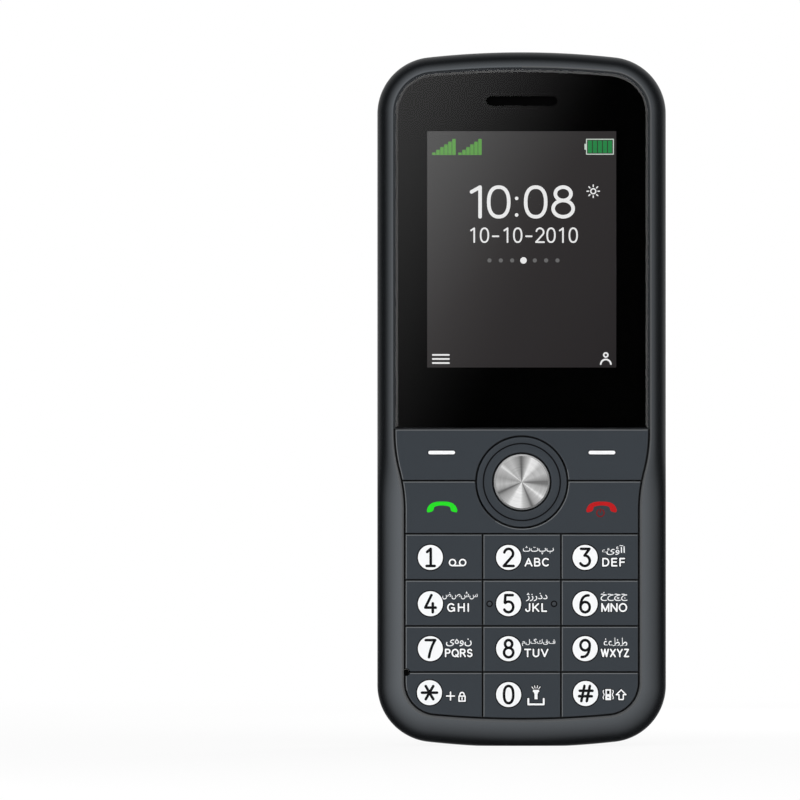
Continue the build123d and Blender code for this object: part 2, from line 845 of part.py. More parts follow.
rear -= plate(
    0,
    blade_z,
    contact_pitch * contact_count + 2 * contact_width,
    blade_length + 2 * bay_wall,
    blade_front - contact_thickness,
    blade_front + 2 * contact_thickness,
)
rear -= disc(0, camera_z, camera_window_radius, deck_front - overrun, deck_back + overrun)
rear -= plate(
    0, speaker_z, sound_width, sound_height, deck_front - overrun, deck_back + overrun, sound_corner
)
mesh_width = sound_width + 2 * mesh_margin
mesh_height = sound_height + 2 * mesh_margin
mesh_corner = sound_corner + mesh_margin
mesh_seat = deck_back - mesh_thickness
rear -= plate(0, speaker_z, mesh_width, mesh_height, mesh_seat, deck_back + overrun, mesh_corner)

# Screw bosses of the rear shell, with the heads sunk from the back
for x, z in screw_places:
    rear += inner_form & disc(
        x, z, boss_radius + screw_head_clearance, board_back, deck_front + press_clearance
    )
for x, z in screw_places:
    rear -= disc(x, z, screw_shank_radius + screw_clearance, board_front, boss_seat_depth + press_clearance)
    rear -= disc(x, z, screw_head_radius + screw_clearance, boss_seat_depth, body_depth + overrun)

# Sockets and torch openings in the top end
socket_low_z = body_height - cavity_inset - shell_wall
socket_high_z = body_height + overrun
rear -= upright_rod(jack_x, jack_depth, jack_nose_radius + socket_clearance, socket_low_z, socket_high_z)
rear -= upright_block(
    usb_x,
    usb_depth,
    usb_width + 2 * socket_clearance,
    usb_thickness + 2 * socket_clearance,
    socket_low_z,
    socket_high_z,
)
rear -= upright_rod(0, torch_depth, torch_lens_radius + press_clearance, socket_low_z, socket_high_z)
nodes["rear_housing"] = rear

# Loudspeaker against the deck, with a dished face, and the dust mesh over the sound opening
speaker_front = deck_front - speaker_thickness
speaker = plate(0, speaker_z, speaker_width, speaker_height, speaker_front, deck_front, speaker_corner)
speaker -= plate(
    0,
    speaker_z,
    speaker_width - 2 * speaker_cone_margin,
    speaker_height - 2 * speaker_cone_margin,
    deck_front - speaker_dish,
    deck_front + overrun,
    speaker_corner - speaker_cone_margin / 2,
)
nodes["loudspeaker"] = speaker
nodes["loudspeaker_mesh"] = plate(
    0,
    speaker_z,
    mesh_width - 2 * press_clearance,
    mesh_height - 2 * press_clearance,
    deck_back - mesh_thickness,
    deck_back,
    mesh_corner - press_clearance,
)

# Antenna: a slotted metal strip on the inside of the deck
antenna = plate(0, antenna_z, antenna_width, antenna_height, deck_front - antenna_thickness, deck_front)
for step in range(antenna_slots):
    side = 1 if step % 2 else -1
    slot_x = (step + 1) * antenna_width / (antenna_slots + 1) - antenna_width / 2
    slot_z = antenna_z + side * antenna_slot
    antenna -= plate(slot_x, slot_z, antenna_slot, antenna_height, deck_front - overrun, deck_back)
nodes["antenna"] = antenna

# Camera module on the board, looking out of the back
module_back = deck_front - module_deck_gap
camera = plate(0, camera_z, module_size, module_size, board_back, module_back)
barrel_back = cover_inner - barrel_gap
camera += disc(0, camera_z, barrel_radius, module_back, barrel_back)
camera -= disc(0, camera_z, barrel_bore_radius, barrel_back - barrel_bore_depth, barrel_back + overrun)
nodes["camera_module"] = camera

# Headphone socket
jack_top_z = body_height - end_drop(jack_x) - jack_recess
jack_body_high_z = body_height - end_drop(abs(jack_x) + jack_width / 2) - cavity_inset - part_gap
jack_body_low_z = jack_body_high_z - jack_length
jack = upright_block(jack_x, jack_depth, jack_width, jack_thickness, jack_body_low_z, jack_body_high_z)
jack += upright_rod(jack_x, jack_depth, jack_nose_radius, jack_body_high_z, jack_top_z)
jack -= upright_rod(jack_x, jack_depth, jack_bore_radius, jack_top_z - jack_bore_length, jack_top_z + overrun)
nodes["headphone_socket"] = jack

# Charging socket: a flat metal shell with a contact tongue
usb_top_z = body_height - end_drop(usb_x) - usb_recess
usb_low_z = usb_top_z - usb_length
usb = upright_block(usb_x, usb_depth, usb_width, usb_thickness, usb_low_z, usb_top_z)
usb = fillet(usb.edges().filter_by(Axis.Z), usb_edge)
usb -= upright_block(
    usb_x,
    usb_depth,
    usb_width - 2 * usb_wall,
    usb_thickness - 2 * usb_wall,
    usb_low_z + usb_wall,
    usb_top_z + overrun,
)
usb += upright_block(
    usb_x, usb_depth, usb_tongue_width, usb_tongue_thickness, usb_low_z, usb_low_z + usb_tongue_length
)
nodes["charging_socket"] = usb

# Torch: a light emitter on the board and a small clear lens in the end wall
torch_lens_high_z = body_height - torch_lens_recess
torch_lens_low_z = torch_lens_high_z - torch_lens_length
torch_led_high_z = torch_lens_low_z - part_gap
torch_led_back = torch_depth + torch_led_width / 2
nodes["torch_led"] = upright_block(
    0,
    (board_back + torch_led_back) / 2,
    torch_led_width,
    torch_led_back - board_back,
    torch_led_high_z - torch_led_height,
    torch_led_high_z,
)
nodes["torch_lens"] = upright_rod(0, torch_depth, torch_lens_radius, torch_lens_low_z, torch_lens_high_z)

# Screws with a cross slot
screws = []
for x, z in screw_places:
    head_back = boss_seat_depth + screw_head_height
    screw = disc(x, z, screw_head_radius, boss_seat_depth, head_back)
    screw += disc(x, z, screw_shank_radius, screw_tip, boss_seat_depth)
    for turn in (0, 90):
        blade = Pos(x, z) * Rot(0, 0, turn) * Rectangle(2 * screw_shank_radius, screw_slot_width)
        screw -= slab(blade, head_back - screw_slot_depth, head_back + overrun)
    screws.append(screw)
nodes["housing_screws"] = Compound(children=screws)

# Battery
battery = plate(
    0, battery_z, battery_width, battery_height, battery_front, battery_back, battery_corner
)
battery = fillet(
    battery.edges().group_by(Axis.Y)[0] + battery.edges().group_by(Axis.Y)[-1], battery_edge
)
nodes["battery"] = battery

# Back cover: a thin shell cut along the seam, with a perforated disc round the camera
cover_hollow = rounded_form(
    cover_thickness, -overrun, cover_inner, 0, back_round - cover_thickness
)
cover = (envelope - cover_hollow) & cover_region(0)
cover -= disc(0, camera_z, bezel_spigot_radius + glass_clearance, cover_inner - overrun, body_depth + overrun)
cover -= tube(
    0,
    camera_z,
    disc_radius + disc_groove_width / 2,
    disc_radius - disc_groove_width / 2,
    body_depth - disc_groove_depth,
    body_depth + overrun,
)
through_holes = []
dimples = []
for radius, count, phase, sector in zip(ring_radii, ring_counts, ring_phases, ring_sectors):
    for step in range(count):
        turn = (step + phase) * 360 / count
        turn = turn - 360 if turn > 180 else turn
        hole_x = radius * math.sin(math.radians(turn))
        hole_z = camera_z + radius * math.cos(math.radians(turn))
        place = Pos(hole_x, hole_z) * Circle(hole_radius)
        (through_holes if abs(turn) <= sector else dimples).append(place)
cover -= slab(Sketch() + through_holes, cover_inner - overrun, body_depth + overrun)
cover -= slab(Sketch() + dimples, body_depth - dimple_depth, body_depth + overrun)
nodes["back_cover"] = cover


def revolved(profile):
    """A ring about the camera's axis, from points of radius and depth."""
    outline = [(radius, depth_y(depth)) for radius, depth in profile]
    ring_face = make_face(Polyline(*outline, close=True))
    return Pos(0, 0, camera_z) * revolve(ring_face, axis=Axis.Y)


# Camera bezel: a conical metal ring on the cover, with a spigot in the cover's hole
crest_depth = body_depth + bezel_proud
glass_back = crest_depth - glass_recess
glass_front = glass_back - glass_thickness
nodes["camera_bezel"] = revolved(
    [
        (bezel_outer_radius, body_depth),
        (bezel_crest_radius, crest_depth),
        (bezel_bore_radius, crest_depth),
        (bezel_bore_radius, glass_front),
        (bezel_bore_radius - bezel_seat, glass_front),
        (bezel_bore_radius - bezel_seat, cover_inner),
        (bezel_spigot_radius, cover_inner),
        (bezel_spigot_radius, body_depth),
    ]
)
trim_back = crest_depth - trim_recess
nodes["camera_trim_ring"] = tube(0, camera_z, trim_outer_radius, trim_inner_radius, glass_front, trim_back)
camera_glass = disc(0, camera_z, trim_inner_radius - glass_clearance, glass_front, glass_back)
camera_glass -= tube(
    0, camera_z, inner_ring_outer, inner_ring_inner, glass_back - inner_ring_groove, glass_back + overrun
)
camera_glass -= disc(0, camera_z, glass_hole_radius, glass_front - overrun, glass_back + overrun)
nodes["camera_glass"] = camera_glass
nodes["camera_inner_ring"] = tube(
    0,
    camera_z,
    inner_ring_outer - glass_clearance,
    inner_ring_inner + glass_clearance,
    glass_back - inner_ring_groove,
    glass_back + inner_ring_proud,
)
lens_ball_radius = (lens_radius**2 + lens_dome**2) / (2 * lens_dome)
lens_rod = disc(0, camera_z, lens_radius, glass_front, glass_back + lens_dome)
lens_ball = Pos(0, depth_y(glass_back + lens_dome) - lens_ball_radius, camera_z) * Sphere(lens_ball_radius)
nodes["camera_lens"] = lens_rod & (lens_ball + disc(0, camera_z, lens_radius, glass_front, glass_back))

os.makedirs("parts", exist_ok=True)
for name, shape in nodes.items():
    export_step(shape, "parts/" + name + ".step")
print(len(nodes), "nodes")
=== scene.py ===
import json
import math

import bmesh
import bpy
import numpy as np
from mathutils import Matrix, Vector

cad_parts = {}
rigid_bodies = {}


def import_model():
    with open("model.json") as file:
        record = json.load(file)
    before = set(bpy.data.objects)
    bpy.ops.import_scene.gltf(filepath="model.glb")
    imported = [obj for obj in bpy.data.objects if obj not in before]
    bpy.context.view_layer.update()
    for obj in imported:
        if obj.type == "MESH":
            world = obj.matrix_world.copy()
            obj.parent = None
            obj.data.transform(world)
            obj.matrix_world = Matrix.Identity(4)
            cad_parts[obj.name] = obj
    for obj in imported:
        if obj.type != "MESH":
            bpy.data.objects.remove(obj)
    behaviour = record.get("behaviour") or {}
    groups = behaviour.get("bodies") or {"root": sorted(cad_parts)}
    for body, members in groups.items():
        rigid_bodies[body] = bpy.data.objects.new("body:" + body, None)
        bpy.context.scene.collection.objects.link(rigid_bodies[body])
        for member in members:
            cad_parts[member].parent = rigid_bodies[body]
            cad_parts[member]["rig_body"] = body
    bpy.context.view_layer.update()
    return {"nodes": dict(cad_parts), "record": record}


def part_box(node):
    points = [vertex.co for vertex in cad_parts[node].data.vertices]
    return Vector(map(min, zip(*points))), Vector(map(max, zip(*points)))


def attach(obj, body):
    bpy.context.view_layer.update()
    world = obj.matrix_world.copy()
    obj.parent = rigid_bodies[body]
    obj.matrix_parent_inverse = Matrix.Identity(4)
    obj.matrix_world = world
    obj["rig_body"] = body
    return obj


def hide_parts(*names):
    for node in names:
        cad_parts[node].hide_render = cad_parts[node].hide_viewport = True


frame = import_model()
nodes = frame["nodes"]
mm = 0.001
print("frame loaded:", len(nodes), "nodes")

# Depths of the faces that the new pieces sit on, read from the frame (y in metres, front is -Y)
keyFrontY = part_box("key_5")[0].y
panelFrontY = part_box("lcd_panel")[0].y
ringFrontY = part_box("nav_ring")[0].y
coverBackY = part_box("back_cover")[1].y


# Shader node helpers

def link(tree, source, sourceName, target, targetName):
    tree.links.new(source.outputs[sourceName], target.inputs[targetName])


def feed(tree, value, socket):
    # sets a number or a colour on the socket, or links another node's output to it
    if isinstance(value, (int, float)):
        socket.default_value = value
    elif isinstance(value, tuple):
        socket.default_value = (*value, 1)
    else:
        tree.links.new(value, socket)


def mathNode(tree, kind, *values, clamp=False):
    node = tree.nodes.new("ShaderNodeMath")
    node.operation = kind
    node.use_clamp = clamp
    for value, socket in zip(values, node.inputs):
        feed(tree, value, socket)
    return node.outputs[0]


def product(tree, first, second):
    return mathNode(tree, "MULTIPLY", first, second)


def summed(tree, first, second):
    return mathNode(tree, "ADD", first, second)


def rampNode(tree, factor, stops):
    # a colour ramp; each stop is a place from 0 to 1 and a colour
    ramp = tree.nodes.new("ShaderNodeValToRGB")
    while len(ramp.color_ramp.elements) < len(stops):
        ramp.color_ramp.elements.new(0.5)
    for element, (place, colour) in zip(ramp.color_ramp.elements, stops):
        element.position = place
        element.color = (*colour, 1)
    feed(tree, factor, ramp.inputs[0])
    return ramp.outputs[0]


def mixColour(tree, factor, first, second, kind="MIX"):
    # the mix node keeps its two colours in sockets 6 and 7 and its result in output 2
    node = tree.nodes.new("ShaderNodeMix")
    node.data_type = "RGBA"
    node.blend_type = kind
    for value, place in ((factor, 0), (first, 6), (second, 7)):
        feed(tree, value, node.inputs[place])
    return node.outputs[2]


def axesOf(tree, space="Object"):
    # the X, Y and Z of the shaded point
    place = tree.nodes.new("ShaderNodeTexCoord")
    axes = tree.nodes.new("ShaderNodeSeparateXYZ")
    link(tree, place, space, axes, 0)
    return axes.outputs


def noiseNode(tree, scale, detail=2.0, roughness=0.5):
    # soft noise over the piece
    place = tree.nodes.new("ShaderNodeTexCoord")
    noise = tree.nodes.new("ShaderNodeTexNoise")
    noise.inputs["Detail"].default_value = detail
    noise.inputs["Roughness"].default_value = roughness
    feed(tree, scale, noise.inputs["Scale"])
    link(tree, place, "Object", noise, "Vector")
    return noise.outputs[0]


def bumpNode(tree, height, distance, strength=1.0, invert=False):
    bump = tree.nodes.new("ShaderNodeBump")
    bump.invert = invert
    bump.inputs["Distance"].default_value = distance
    feed(tree, strength, bump.inputs["Strength"])
    feed(tree, height, bump.inputs["Height"])
    return bump.outputs[0]


def newGroup(name, inputs, outputs):
    tree = bpy.data.node_groups.new(name, "ShaderNodeTree")
    for label, kind, value in inputs:
        socket = tree.interface.new_socket(name=label, in_out="INPUT", socket_type="NodeSocket" + kind)
        socket.default_value = value
    for label, kind in outputs:
        tree.interface.new_socket(name=label, in_out="OUTPUT", socket_type="NodeSocket" + kind)
    return tree, tree.nodes.new("NodeGroupInput").outputs, tree.nodes.new("NodeGroupOutput").inputs


mouldedGrain = {
    "detail": 3,
    "roughness": 0.55,
    "slowScale": 0.03,
    "slowDetail": 4,
    "slowWeight": 0.6,
    "middle": 0.8,
    "bump": 0.02 * mm,
}


def makeGrainGroup():
    # moulded plastic: fine spark-eroded grain in the bump, slow mottling in colour and gloss
    look = mouldedGrain
    tree, given, put = newGroup(
        "mouldedGrain",
        [
            ("Colour", "Color", (0.1, 0.1, 0.1, 1)),
            ("Mottle", "Float", 0.1),
            ("Grain per m", "Float", 6000.0),
            ("Depth", "Float", 0.1),
            ("Roughness", "Float", 0.4),
            ("Spread", "Float", 0.05),
        ],
        [("Colour", "Color"), ("Roughness", "Float"), ("Normal", "Vector")],
    )
    grain = noiseNode(tree, given["Grain per m"], look["detail"], look["roughness"])
    slow = noiseNode(tree, product(tree, given["Grain per m"], look["slowScale"]), look["slowDetail"])
    both = summed(tree, grain, product(tree, slow, look["slowWeight"]))
    swing = mathNode(tree, "SUBTRACT", both, look["middle"])
    level = summed(tree, product(tree, swing, given["Mottle"]), 1.0)
    shade = tree.nodes.new("ShaderNodeVectorMath")
    shade.operation = "SCALE"
    feed(tree, given["Colour"], shade.inputs[0])
    feed(tree, level, shade.inputs["Scale"])
    feed(tree, shade.outputs[0], put["Colour"])
    feed(tree, summed(tree, product(tree, swing, given["Spread"]), given["Roughness"]), put["Roughness"])
    feed(tree, bumpNode(tree, grain, look["bump"], given["Depth"]), put["Normal"])
    return tree


spunGrooves = {"detail": 4, "sectors": 5.0, "bump": 0.01 * mm}


def makeSpunGroup():
    # turned metal: rings of fine grooves round an axis along Y, and the angle round it as 0 to 1
    look = spunGrooves
    tree, given, put = newGroup(
        "spunMetal",
        [
            ("Centre", "Vector", (0, 0, 0)),
            ("Rings per m", "Float", 9000.0),
            ("Depth", "Float", 0.1),
        ],
        [("Angle", "Float"), ("Rings", "Float"), ("Radius", "Float"), ("Normal", "Vector")],
    )
    place = tree.nodes.new("ShaderNodeTexCoord")
    centred = tree.nodes.new("ShaderNodeVectorMath")
    centred.operation = "SUBTRACT"
    link(tree, place, "Object", centred, 0)
    feed(tree, given["Centre"], centred.inputs[1])
    axes = tree.nodes.new("ShaderNodeSeparateXYZ")
    feed(tree, centred.outputs[0], axes.inputs[0])
    x, z = axes.outputs["X"], axes.outputs["Z"]
    radius = mathNode(tree, "SQRT", summed(tree, product(tree, x, x), product(tree, z, z)))
    turn = mathNode(tree, "DIVIDE", mathNode(tree, "ARCTAN2", z, x), 2 * math.pi)
    angle = mathNode(tree, "FRACT", summed(tree, turn, 1.0))
    feed(tree, angle, put["Angle"])
    feed(tree, radius, put["Radius"])
    rings = tree.nodes.new("ShaderNodeTexNoise")
    rings.noise_dimensions = "2D"
    rings.inputs["Detail"].default_value = look["detail"]
    rings.inputs["Scale"].default_value = 1
    pair = tree.nodes.new("ShaderNodeCombineXYZ")
    feed(tree, product(tree, radius, given["Rings per m"]), pair.inputs[0])
    feed(tree, product(tree, angle, look["sectors"]), pair.inputs[1])
    feed(tree, pair.outputs[0], rings.inputs["Vector"])
    feed(tree, rings.outputs[0], put["Rings"])
    feed(tree, bumpNode(tree, rings.outputs[0], look["bump"], given["Depth"]), put["Normal"])
    return tree


grainGroup = makeGrainGroup()
spunGroup = makeSpunGroup()


def newMaterial(name, **fixed):
    # fixed values go straight on the shader's own sockets, with _ for a space
    material = bpy.data.materials.new(name)
    material.use_nodes = True
    shader = material.node_tree.nodes["Principled BSDF"]
    for label, value in fixed.items():
        shader.inputs[label.replace("_", " ")].default_value = value
    return material, material.node_tree, shader.inputs


def placeGroup(tree, group, **values):
    node = tree.nodes.new("ShaderNodeGroup")
    node.node_tree = group
    for label, value in values.items():
        node.inputs[label.replace("_", " ")].default_value = value
    return node.outputs


def plasticMaterial(name, colour, roughness, mottle=0.12, grain=6000.0, depth=0.12, spread=0.06, **fixed):
    material, tree, sockets = newMaterial(name, **fixed)
    group = placeGroup(
        tree, grainGroup, Colour=(*colour, 1), Mottle=mottle, Grain_per_m=grain, Depth=depth,
        Roughness=roughness, Spread=spread,
    )
    feed(tree, group["Colour"], sockets["Base Color"])
    feed(tree, group["Roughness"], sockets["Roughness"])
    feed(tree, group["Normal"], sockets["Normal"])
    return material


glossSwing = 0.2  # how far the grooves change the roughness of turned metal


def spunMaterialWithPaintedGlints(name, centre, stops, rings, depth, roughness, contrast, **fixed):
    # the stops give the brightness of each sector round the turned face: painted reflections, the light and
    # dark wedges of spun metal
    material, tree, sockets = newMaterial(name, Metallic=1.0, **fixed)
    group = placeGroup(tree, spunGroup, Centre=centre, Rings_per_m=rings, Depth=depth)
    sectors = rampNode(tree, group["Angle"], [(place / 360, (level,) * 3) for place, level in stops])
    streak = rampNode(tree, group["Rings"], [(0.3, (1 - contrast,) * 3), (0.7, (1.0,) * 3)])
    feed(tree, mixColour(tree, 1.0, sectors, streak, "MULTIPLY"), sockets["Base Color"])
    feed(tree, summed(tree, product(tree, group["Rings"], glossSwing), roughness), sockets["Roughness"])
    feed(tree, group["Normal"], sockets["Normal"])
    return material


# Colours are linear; levels tuned so that the lit surface reads as the finish named
shellPlastic = plasticMaterial("shellPlastic", (0.0042, 0.0048, 0.0056), 0.2, grain=9000.0, depth=0.03,
                               IOR=1.75, Specular_Tint=(0.86, 0.93, 1.0, 1))
# lighter plastic for the frame's rim: a painted highlight
paintedRimHighlight = plasticMaterial("paintedRimHighlight", (0.036, 0.039, 0.042), 0.3, grain=9000.0, depth=0.03, IOR=1.6)
keyPlastic = plasticMaterial("keyPlastic", (0.0105, 0.017, 0.0245), 0.36, grain=7000.0, depth=0.08, IOR=1.5)
# lighter plastic for key chamfers that face up and left: a painted highlight
keyEdge = plasticMaterial("keyEdge", (0.085, 0.093, 0.10), 0.3, grain=7000.0, depth=0.05, IOR=1.5)
blackPlastic = plasticMaterial("blackPlastic", (0.006, 0.006, 0.007), 0.45)
siliconeRubber = plasticMaterial("siliconeRubber", (0.02, 0.02, 0.022), 0.55, depth=0.05)
foamBlack = plasticMaterial("foamBlack", (0.012, 0.012, 0.012), 0.9, mottle=0.5, grain=4000.0, depth=0.6)
amberFilm = plasticMaterial("amberFilm", (0.28, 0.09, 0.012), 0.3, mottle=0.2)
torchYellow = plasticMaterial("torchYellow", (0.85, 0.72, 0.25), 0.35, mottle=0.2, grain=9000.0)
sheetSteel = plasticMaterial("sheetSteel", (0.55, 0.55, 0.53), 0.32, mottle=0.15, grain=2500.0, Metallic=1.0)
screwSteel = plasticMaterial("screwSteel", (0.08, 0.08, 0.085), 0.4, mottle=0.2, Metallic=1.0)
domeSteel = plasticMaterial("domeSteel", (0.6, 0.59, 0.56), 0.28, mottle=0.1, Metallic=1.0)
goldPlate = plasticMaterial("goldPlate", (0.85, 0.58, 0.22), 0.28, mottle=0.15, Metallic=1.0)
batteryFilm = plasticMaterial("batteryFilm", (0.012, 0.014, 0.018), 0.28, mottle=0.1, grain=1500.0,
                              depth=0.05)


def inkMaterial(name, colour, roughness=0.5, mottle=0.04, **fixed):
    # printed ink: smooth, and duller than the plastic round it
    return plasticMaterial(name, colour, roughness, mottle=mottle, depth=0.03, **fixed)


legendWhite = inkMaterial("legendWhite", (0.90, 0.91, 0.92), mottle=0.03)
legendDark = inkMaterial("legendDark", (0.002, 0.002, 0.003), 0.6, mottle=0.12, Specular_IOR_Level=0.1)
legendGreen = inkMaterial("legendGreen", (0.015, 0.68, 0.015), Specular_IOR_Level=0.15)
legendRed = inkMaterial("legendRed", (0.46, 0.006, 0.008), Specular_IOR_Level=0.15)
legendDarkRed = inkMaterial("legendDarkRed", (0.16, 0.006, 0.008), Specular_IOR_Level=0.15)

cloth = {
    "threads": 26000.0,
    "hole": (0.0004, 0.0004, 0.0004),
    "thread": (0.0022, 0.0022, 0.0024),
    "bump": 0.03 * mm,
}


def meshClothMaterial():
    # fine dust mesh: two crossed waves make the weave
    material, tree, sockets = newMaterial("meshCloth", Roughness=0.8, Specular_IOR_Level=0.02)
    axes = axesOf(tree)
    across = mathNode(tree, "SINE", product(tree, axes["X"], cloth["threads"]))
    along = mathNode(tree, "SINE", product(tree, axes["Z"], cloth["threads"]))
    level = summed(tree, product(tree, product(tree, across, along), 0.5), 0.5)
    feed(tree, rampNode(tree, level, [(0.0, cloth["hole"]), (1.0, cloth["thread"])]), sockets["Base Color"])
    feed(tree, bumpNode(tree, level, cloth["bump"]), sockets["Normal"])
    return material


board = {
    "cells": 500,
    "track": (0.02, 0.20, 0.07),
    "mask": (0.006, 0.07, 0.025),
    "deepMask": (0.005, 0.06, 0.02),
    "trackTo": 0.06,
    "maskFrom": 0.09,
    "bump": 0.03 * mm,
    "strength": 0.3,
}


def boardMaterial():
    # green solder mask with copper tracks under it: thresholded cells for the tracks
    material, tree, sockets = newMaterial("boardLaminate", Roughness=0.3)
    place = tree.nodes.new("ShaderNodeTexCoord")
    cells = tree.nodes.new("ShaderNodeTexVoronoi")
    cells.feature = "DISTANCE_TO_EDGE"
    cells.inputs["Scale"].default_value = board["cells"]
    link(tree, place, "Object", cells, "Vector")
    edge = cells.outputs["Distance"]
    stops = [(0.0, board["track"]), (board["trackTo"], board["track"]), (board["maskFrom"], board["mask"]),
             (1.0, board["deepMask"])]
    feed(tree, rampNode(tree, edge, stops), sockets["Base Color"])
    feed(tree, bumpNode(tree, edge, board["bump"], board["strength"], invert=True), sockets["Normal"])
    return material


screen = {
    "halfWidth": 15.84 * mm,
    "lowZ": 63.45 * mm,
    "highZ": 103.05 * mm,
    "brightCorner": (0.060, 0.060, 0.060),
    "middle": (0.0365, 0.0335, 0.034),
    "middleAt": 0.45,
    "darkCorner": (0.0255, 0.023, 0.024),
}
screen["middleZ"] = (screen["lowZ"] + screen["highZ"]) / 2
screen["halfHeight"] = (screen["highZ"] - screen["lowZ"]) / 2

acrylic = {"colour": (0.97, 0.97, 0.97, 1), "ior": 1.49, "smudge": 60, "smudgeDetail": 5, "gloss": 0.014}


def windowMaterial():
    # clear acrylic, wiped but not quite clean
    material, tree, sockets = newMaterial(
        "windowAcrylic", Base_Color=acrylic["colour"], IOR=acrylic["ior"], Transmission_Weight=1.0
    )
    smudge = noiseNode(tree, acrylic["smudge"], acrylic["smudgeDetail"])
    feed(tree, product(tree, smudge, acrylic["gloss"]), sockets["Roughness"])
    return material


cover = {
    "colour": (0.018, 0.0215, 0.024),
    "roughness": 0.38,
    "grilleRadius": 16.2 * mm,
    "dimpleSkin": 0.04 * mm,
    # darker colour inside the dimples: painted shade
    "dimplePaintedShade": (0.0065, 0.008, 0.009),
    "dimpleRoughness": 0.4,
}


def coverMaterial():
    # the shallow dimples of the round grille lie below the cover's flat back; there the colour is darker,
    # painted shade in the recesses, and the skin is duller
    material, tree, sockets = newMaterial("coverPlastic", IOR=1.5)
    group = placeGroup(
        tree, grainGroup, Colour=(*cover["colour"], 1), Mottle=0.2, Grain_per_m=5000.0, Depth=0.1,
        Roughness=cover["roughness"], Spread=0.06,
    )
    axes = axesOf(tree)
    x = axes["X"]
    z = mathNode(tree, "SUBTRACT", axes["Z"], camera["z"])
    squares = summed(tree, product(tree, x, x), product(tree, z, z))
    inside = mathNode(tree, "LESS_THAN", squares, cover["grilleRadius"] ** 2)
    sunk = mathNode(tree, "LESS_THAN", axes["Y"], coverBackY - cover["dimpleSkin"])
    dimpleShadeAndDullness = product(tree, inside, sunk)
    feed(tree, mixColour(tree, dimpleShadeAndDullness, group["Colour"], cover["dimplePaintedShade"]), sockets["Base Color"])
    gloss = summed(tree, product(tree, dimpleShadeAndDullness, cover["dimpleRoughness"]), group["Roughness"])
    feed(tree, gloss, sockets["Roughness"])
    feed(tree, group["Normal"], sockets["Normal"])
    return material


def litMaterial(name):
    # black without gloss, so that all of its light is its own
    return newMaterial(
        name, Base_Color=(0, 0, 0, 1), Roughness=0.5, Specular_IOR_Level=0.0, Emission_Strength=1.0
    )


def pictureMaterial():
    # the lit picture: a slant grey shade from upper left to lower right, given off as light
    material, tree, sockets = litMaterial("screenPicture")
    axes = axesOf(tree)
    across = mathNode(tree, "DIVIDE", axes["X"], 4 * screen["halfWidth"])
    down = mathNode(tree, "SUBTRACT", screen["middleZ"], axes["Z"])
    along = mathNode(tree, "DIVIDE", down, 4 * screen["halfHeight"])
    slant = mathNode(tree, "ADD", summed(tree, across, along), 0.5, clamp=True)
    stops = [(0.0, screen["brightCorner"]), (screen["middleAt"], screen["middle"]),
             (1.0, screen["darkCorner"])]
    feed(tree, rampNode(tree, slant, stops), sockets["Emission Color"])
    return material


dotsPerMetre = 3000


def glowMaterial(name, colour, variation=0.1):
    # a lit figure of the display, with the slight unevenness of its dots
    material, tree, sockets = litMaterial(name)
    low = tuple(part * (1 - variation) for part in colour)
    shade = rampNode(tree, noiseNode(tree, dotsPerMetre), [(0.3, low), (0.7, colour)])
    feed(tree, shade, sockets["Emission Color"])
    return material


glassHaze = {
    "scale": 400,
    "detail": 4,
    "dark": (0.0010, 0.0010, 0.0012),
    "pale": (0.0022, 0.0022, 0.0026),
    "roughness": 0.03,
    "swing": 0.04,
}


def printedGlassMaterial():
    # black glass over the camera, with faint polishing haze
    material, tree, sockets = newMaterial("printedGlass", IOR=1.5)
    haze = noiseNode(tree, glassHaze["scale"], glassHaze["detail"])
    shade = rampNode(tree, haze, [(0.3, glassHaze["dark"]), (0.7, glassHaze["pale"])])
    feed(tree, shade, sockets["Base Color"])
    gloss = summed(tree, product(tree, haze, glassHaze["swing"]), glassHaze["roughness"])
    feed(tree, gloss, sockets["Roughness"])
    return material


camera = {
    "x": 0.0,
    "z": 84.4 * mm,
    "lensRadius": 1.54 * mm,
    # (share of the lens's radius, colour) from its middle to its rim
    "lensStops": (
        (0.0, (0.004, 0.004, 0.02)), (0.35, (0.003, 0.003, 0.012)), (0.6, (0.010, 0.009, 0.05)),
        (0.72, (0.004, 0.004, 0.012)), (0.78, (0.014, 0.014, 0.018)), (1.0, (0.010, 0.010, 0.012)),
    ),
    # a blue patch off the lens's axis: a painted reflection of the coating
    "paintedReflection": (0.10, 0.08, 0.75),
    "paintedReflectionX": -0.42 * mm,
    "paintedReflectionZ": -0.38 * mm,
    "paintedReflectionRadius": 0.85 * mm,
}


def lensMaterial():
    # coated lens: black rim and dark glass by the distance from the axis; a blue patch off the axis is
    # a painted reflection of the coating
    material, tree, sockets = newMaterial(
        "coatedLens", Roughness=0.04, IOR=1.6, Coat_Weight=0.6, Coat_Roughness=0.02
    )
    group = placeGroup(tree, spunGroup, Centre=(camera["x"], 0, camera["z"]), Depth=0.0)
    share = mathNode(tree, "DIVIDE", group["Radius"], camera["lensRadius"])
    glass = rampNode(tree, share, camera["lensStops"])
    paintedReflectionCentre = (camera["x"] + camera["paintedReflectionX"], 0, camera["z"] + camera["paintedReflectionZ"])
    aside = placeGroup(tree, spunGroup, Centre=paintedReflectionCentre, Depth=0.0)
    away = mathNode(tree, "DIVIDE", aside["Radius"], camera["paintedReflectionRadius"])
    paintedReflection = mathNode(tree, "SUBTRACT", 1.0, away, clamp=True)
    feed(tree, mixColour(tree, paintedReflection, glass, camera["paintedReflection"]), sockets["Base Color"])
    return material


torchLens = {"haze": 900, "dark": (0.75, 0.78, 0.80), "pale": (0.9, 0.92, 0.93)}


def clearLensMaterial():
    # milky clear plastic over the torch
    material, tree, sockets = newMaterial("clearLens", Roughness=0.1, IOR=1.49, Transmission_Weight=0.7)
    haze = noiseNode(tree, torchLens["haze"])
    shade = rampNode(tree, haze, [(0.3, torchLens["dark"]), (0.7, torchLens["pale"])])
    feed(tree, shade, sockets["Base Color"])
    return material


nav = {"x": 0.0, "z": 44.26 * mm}
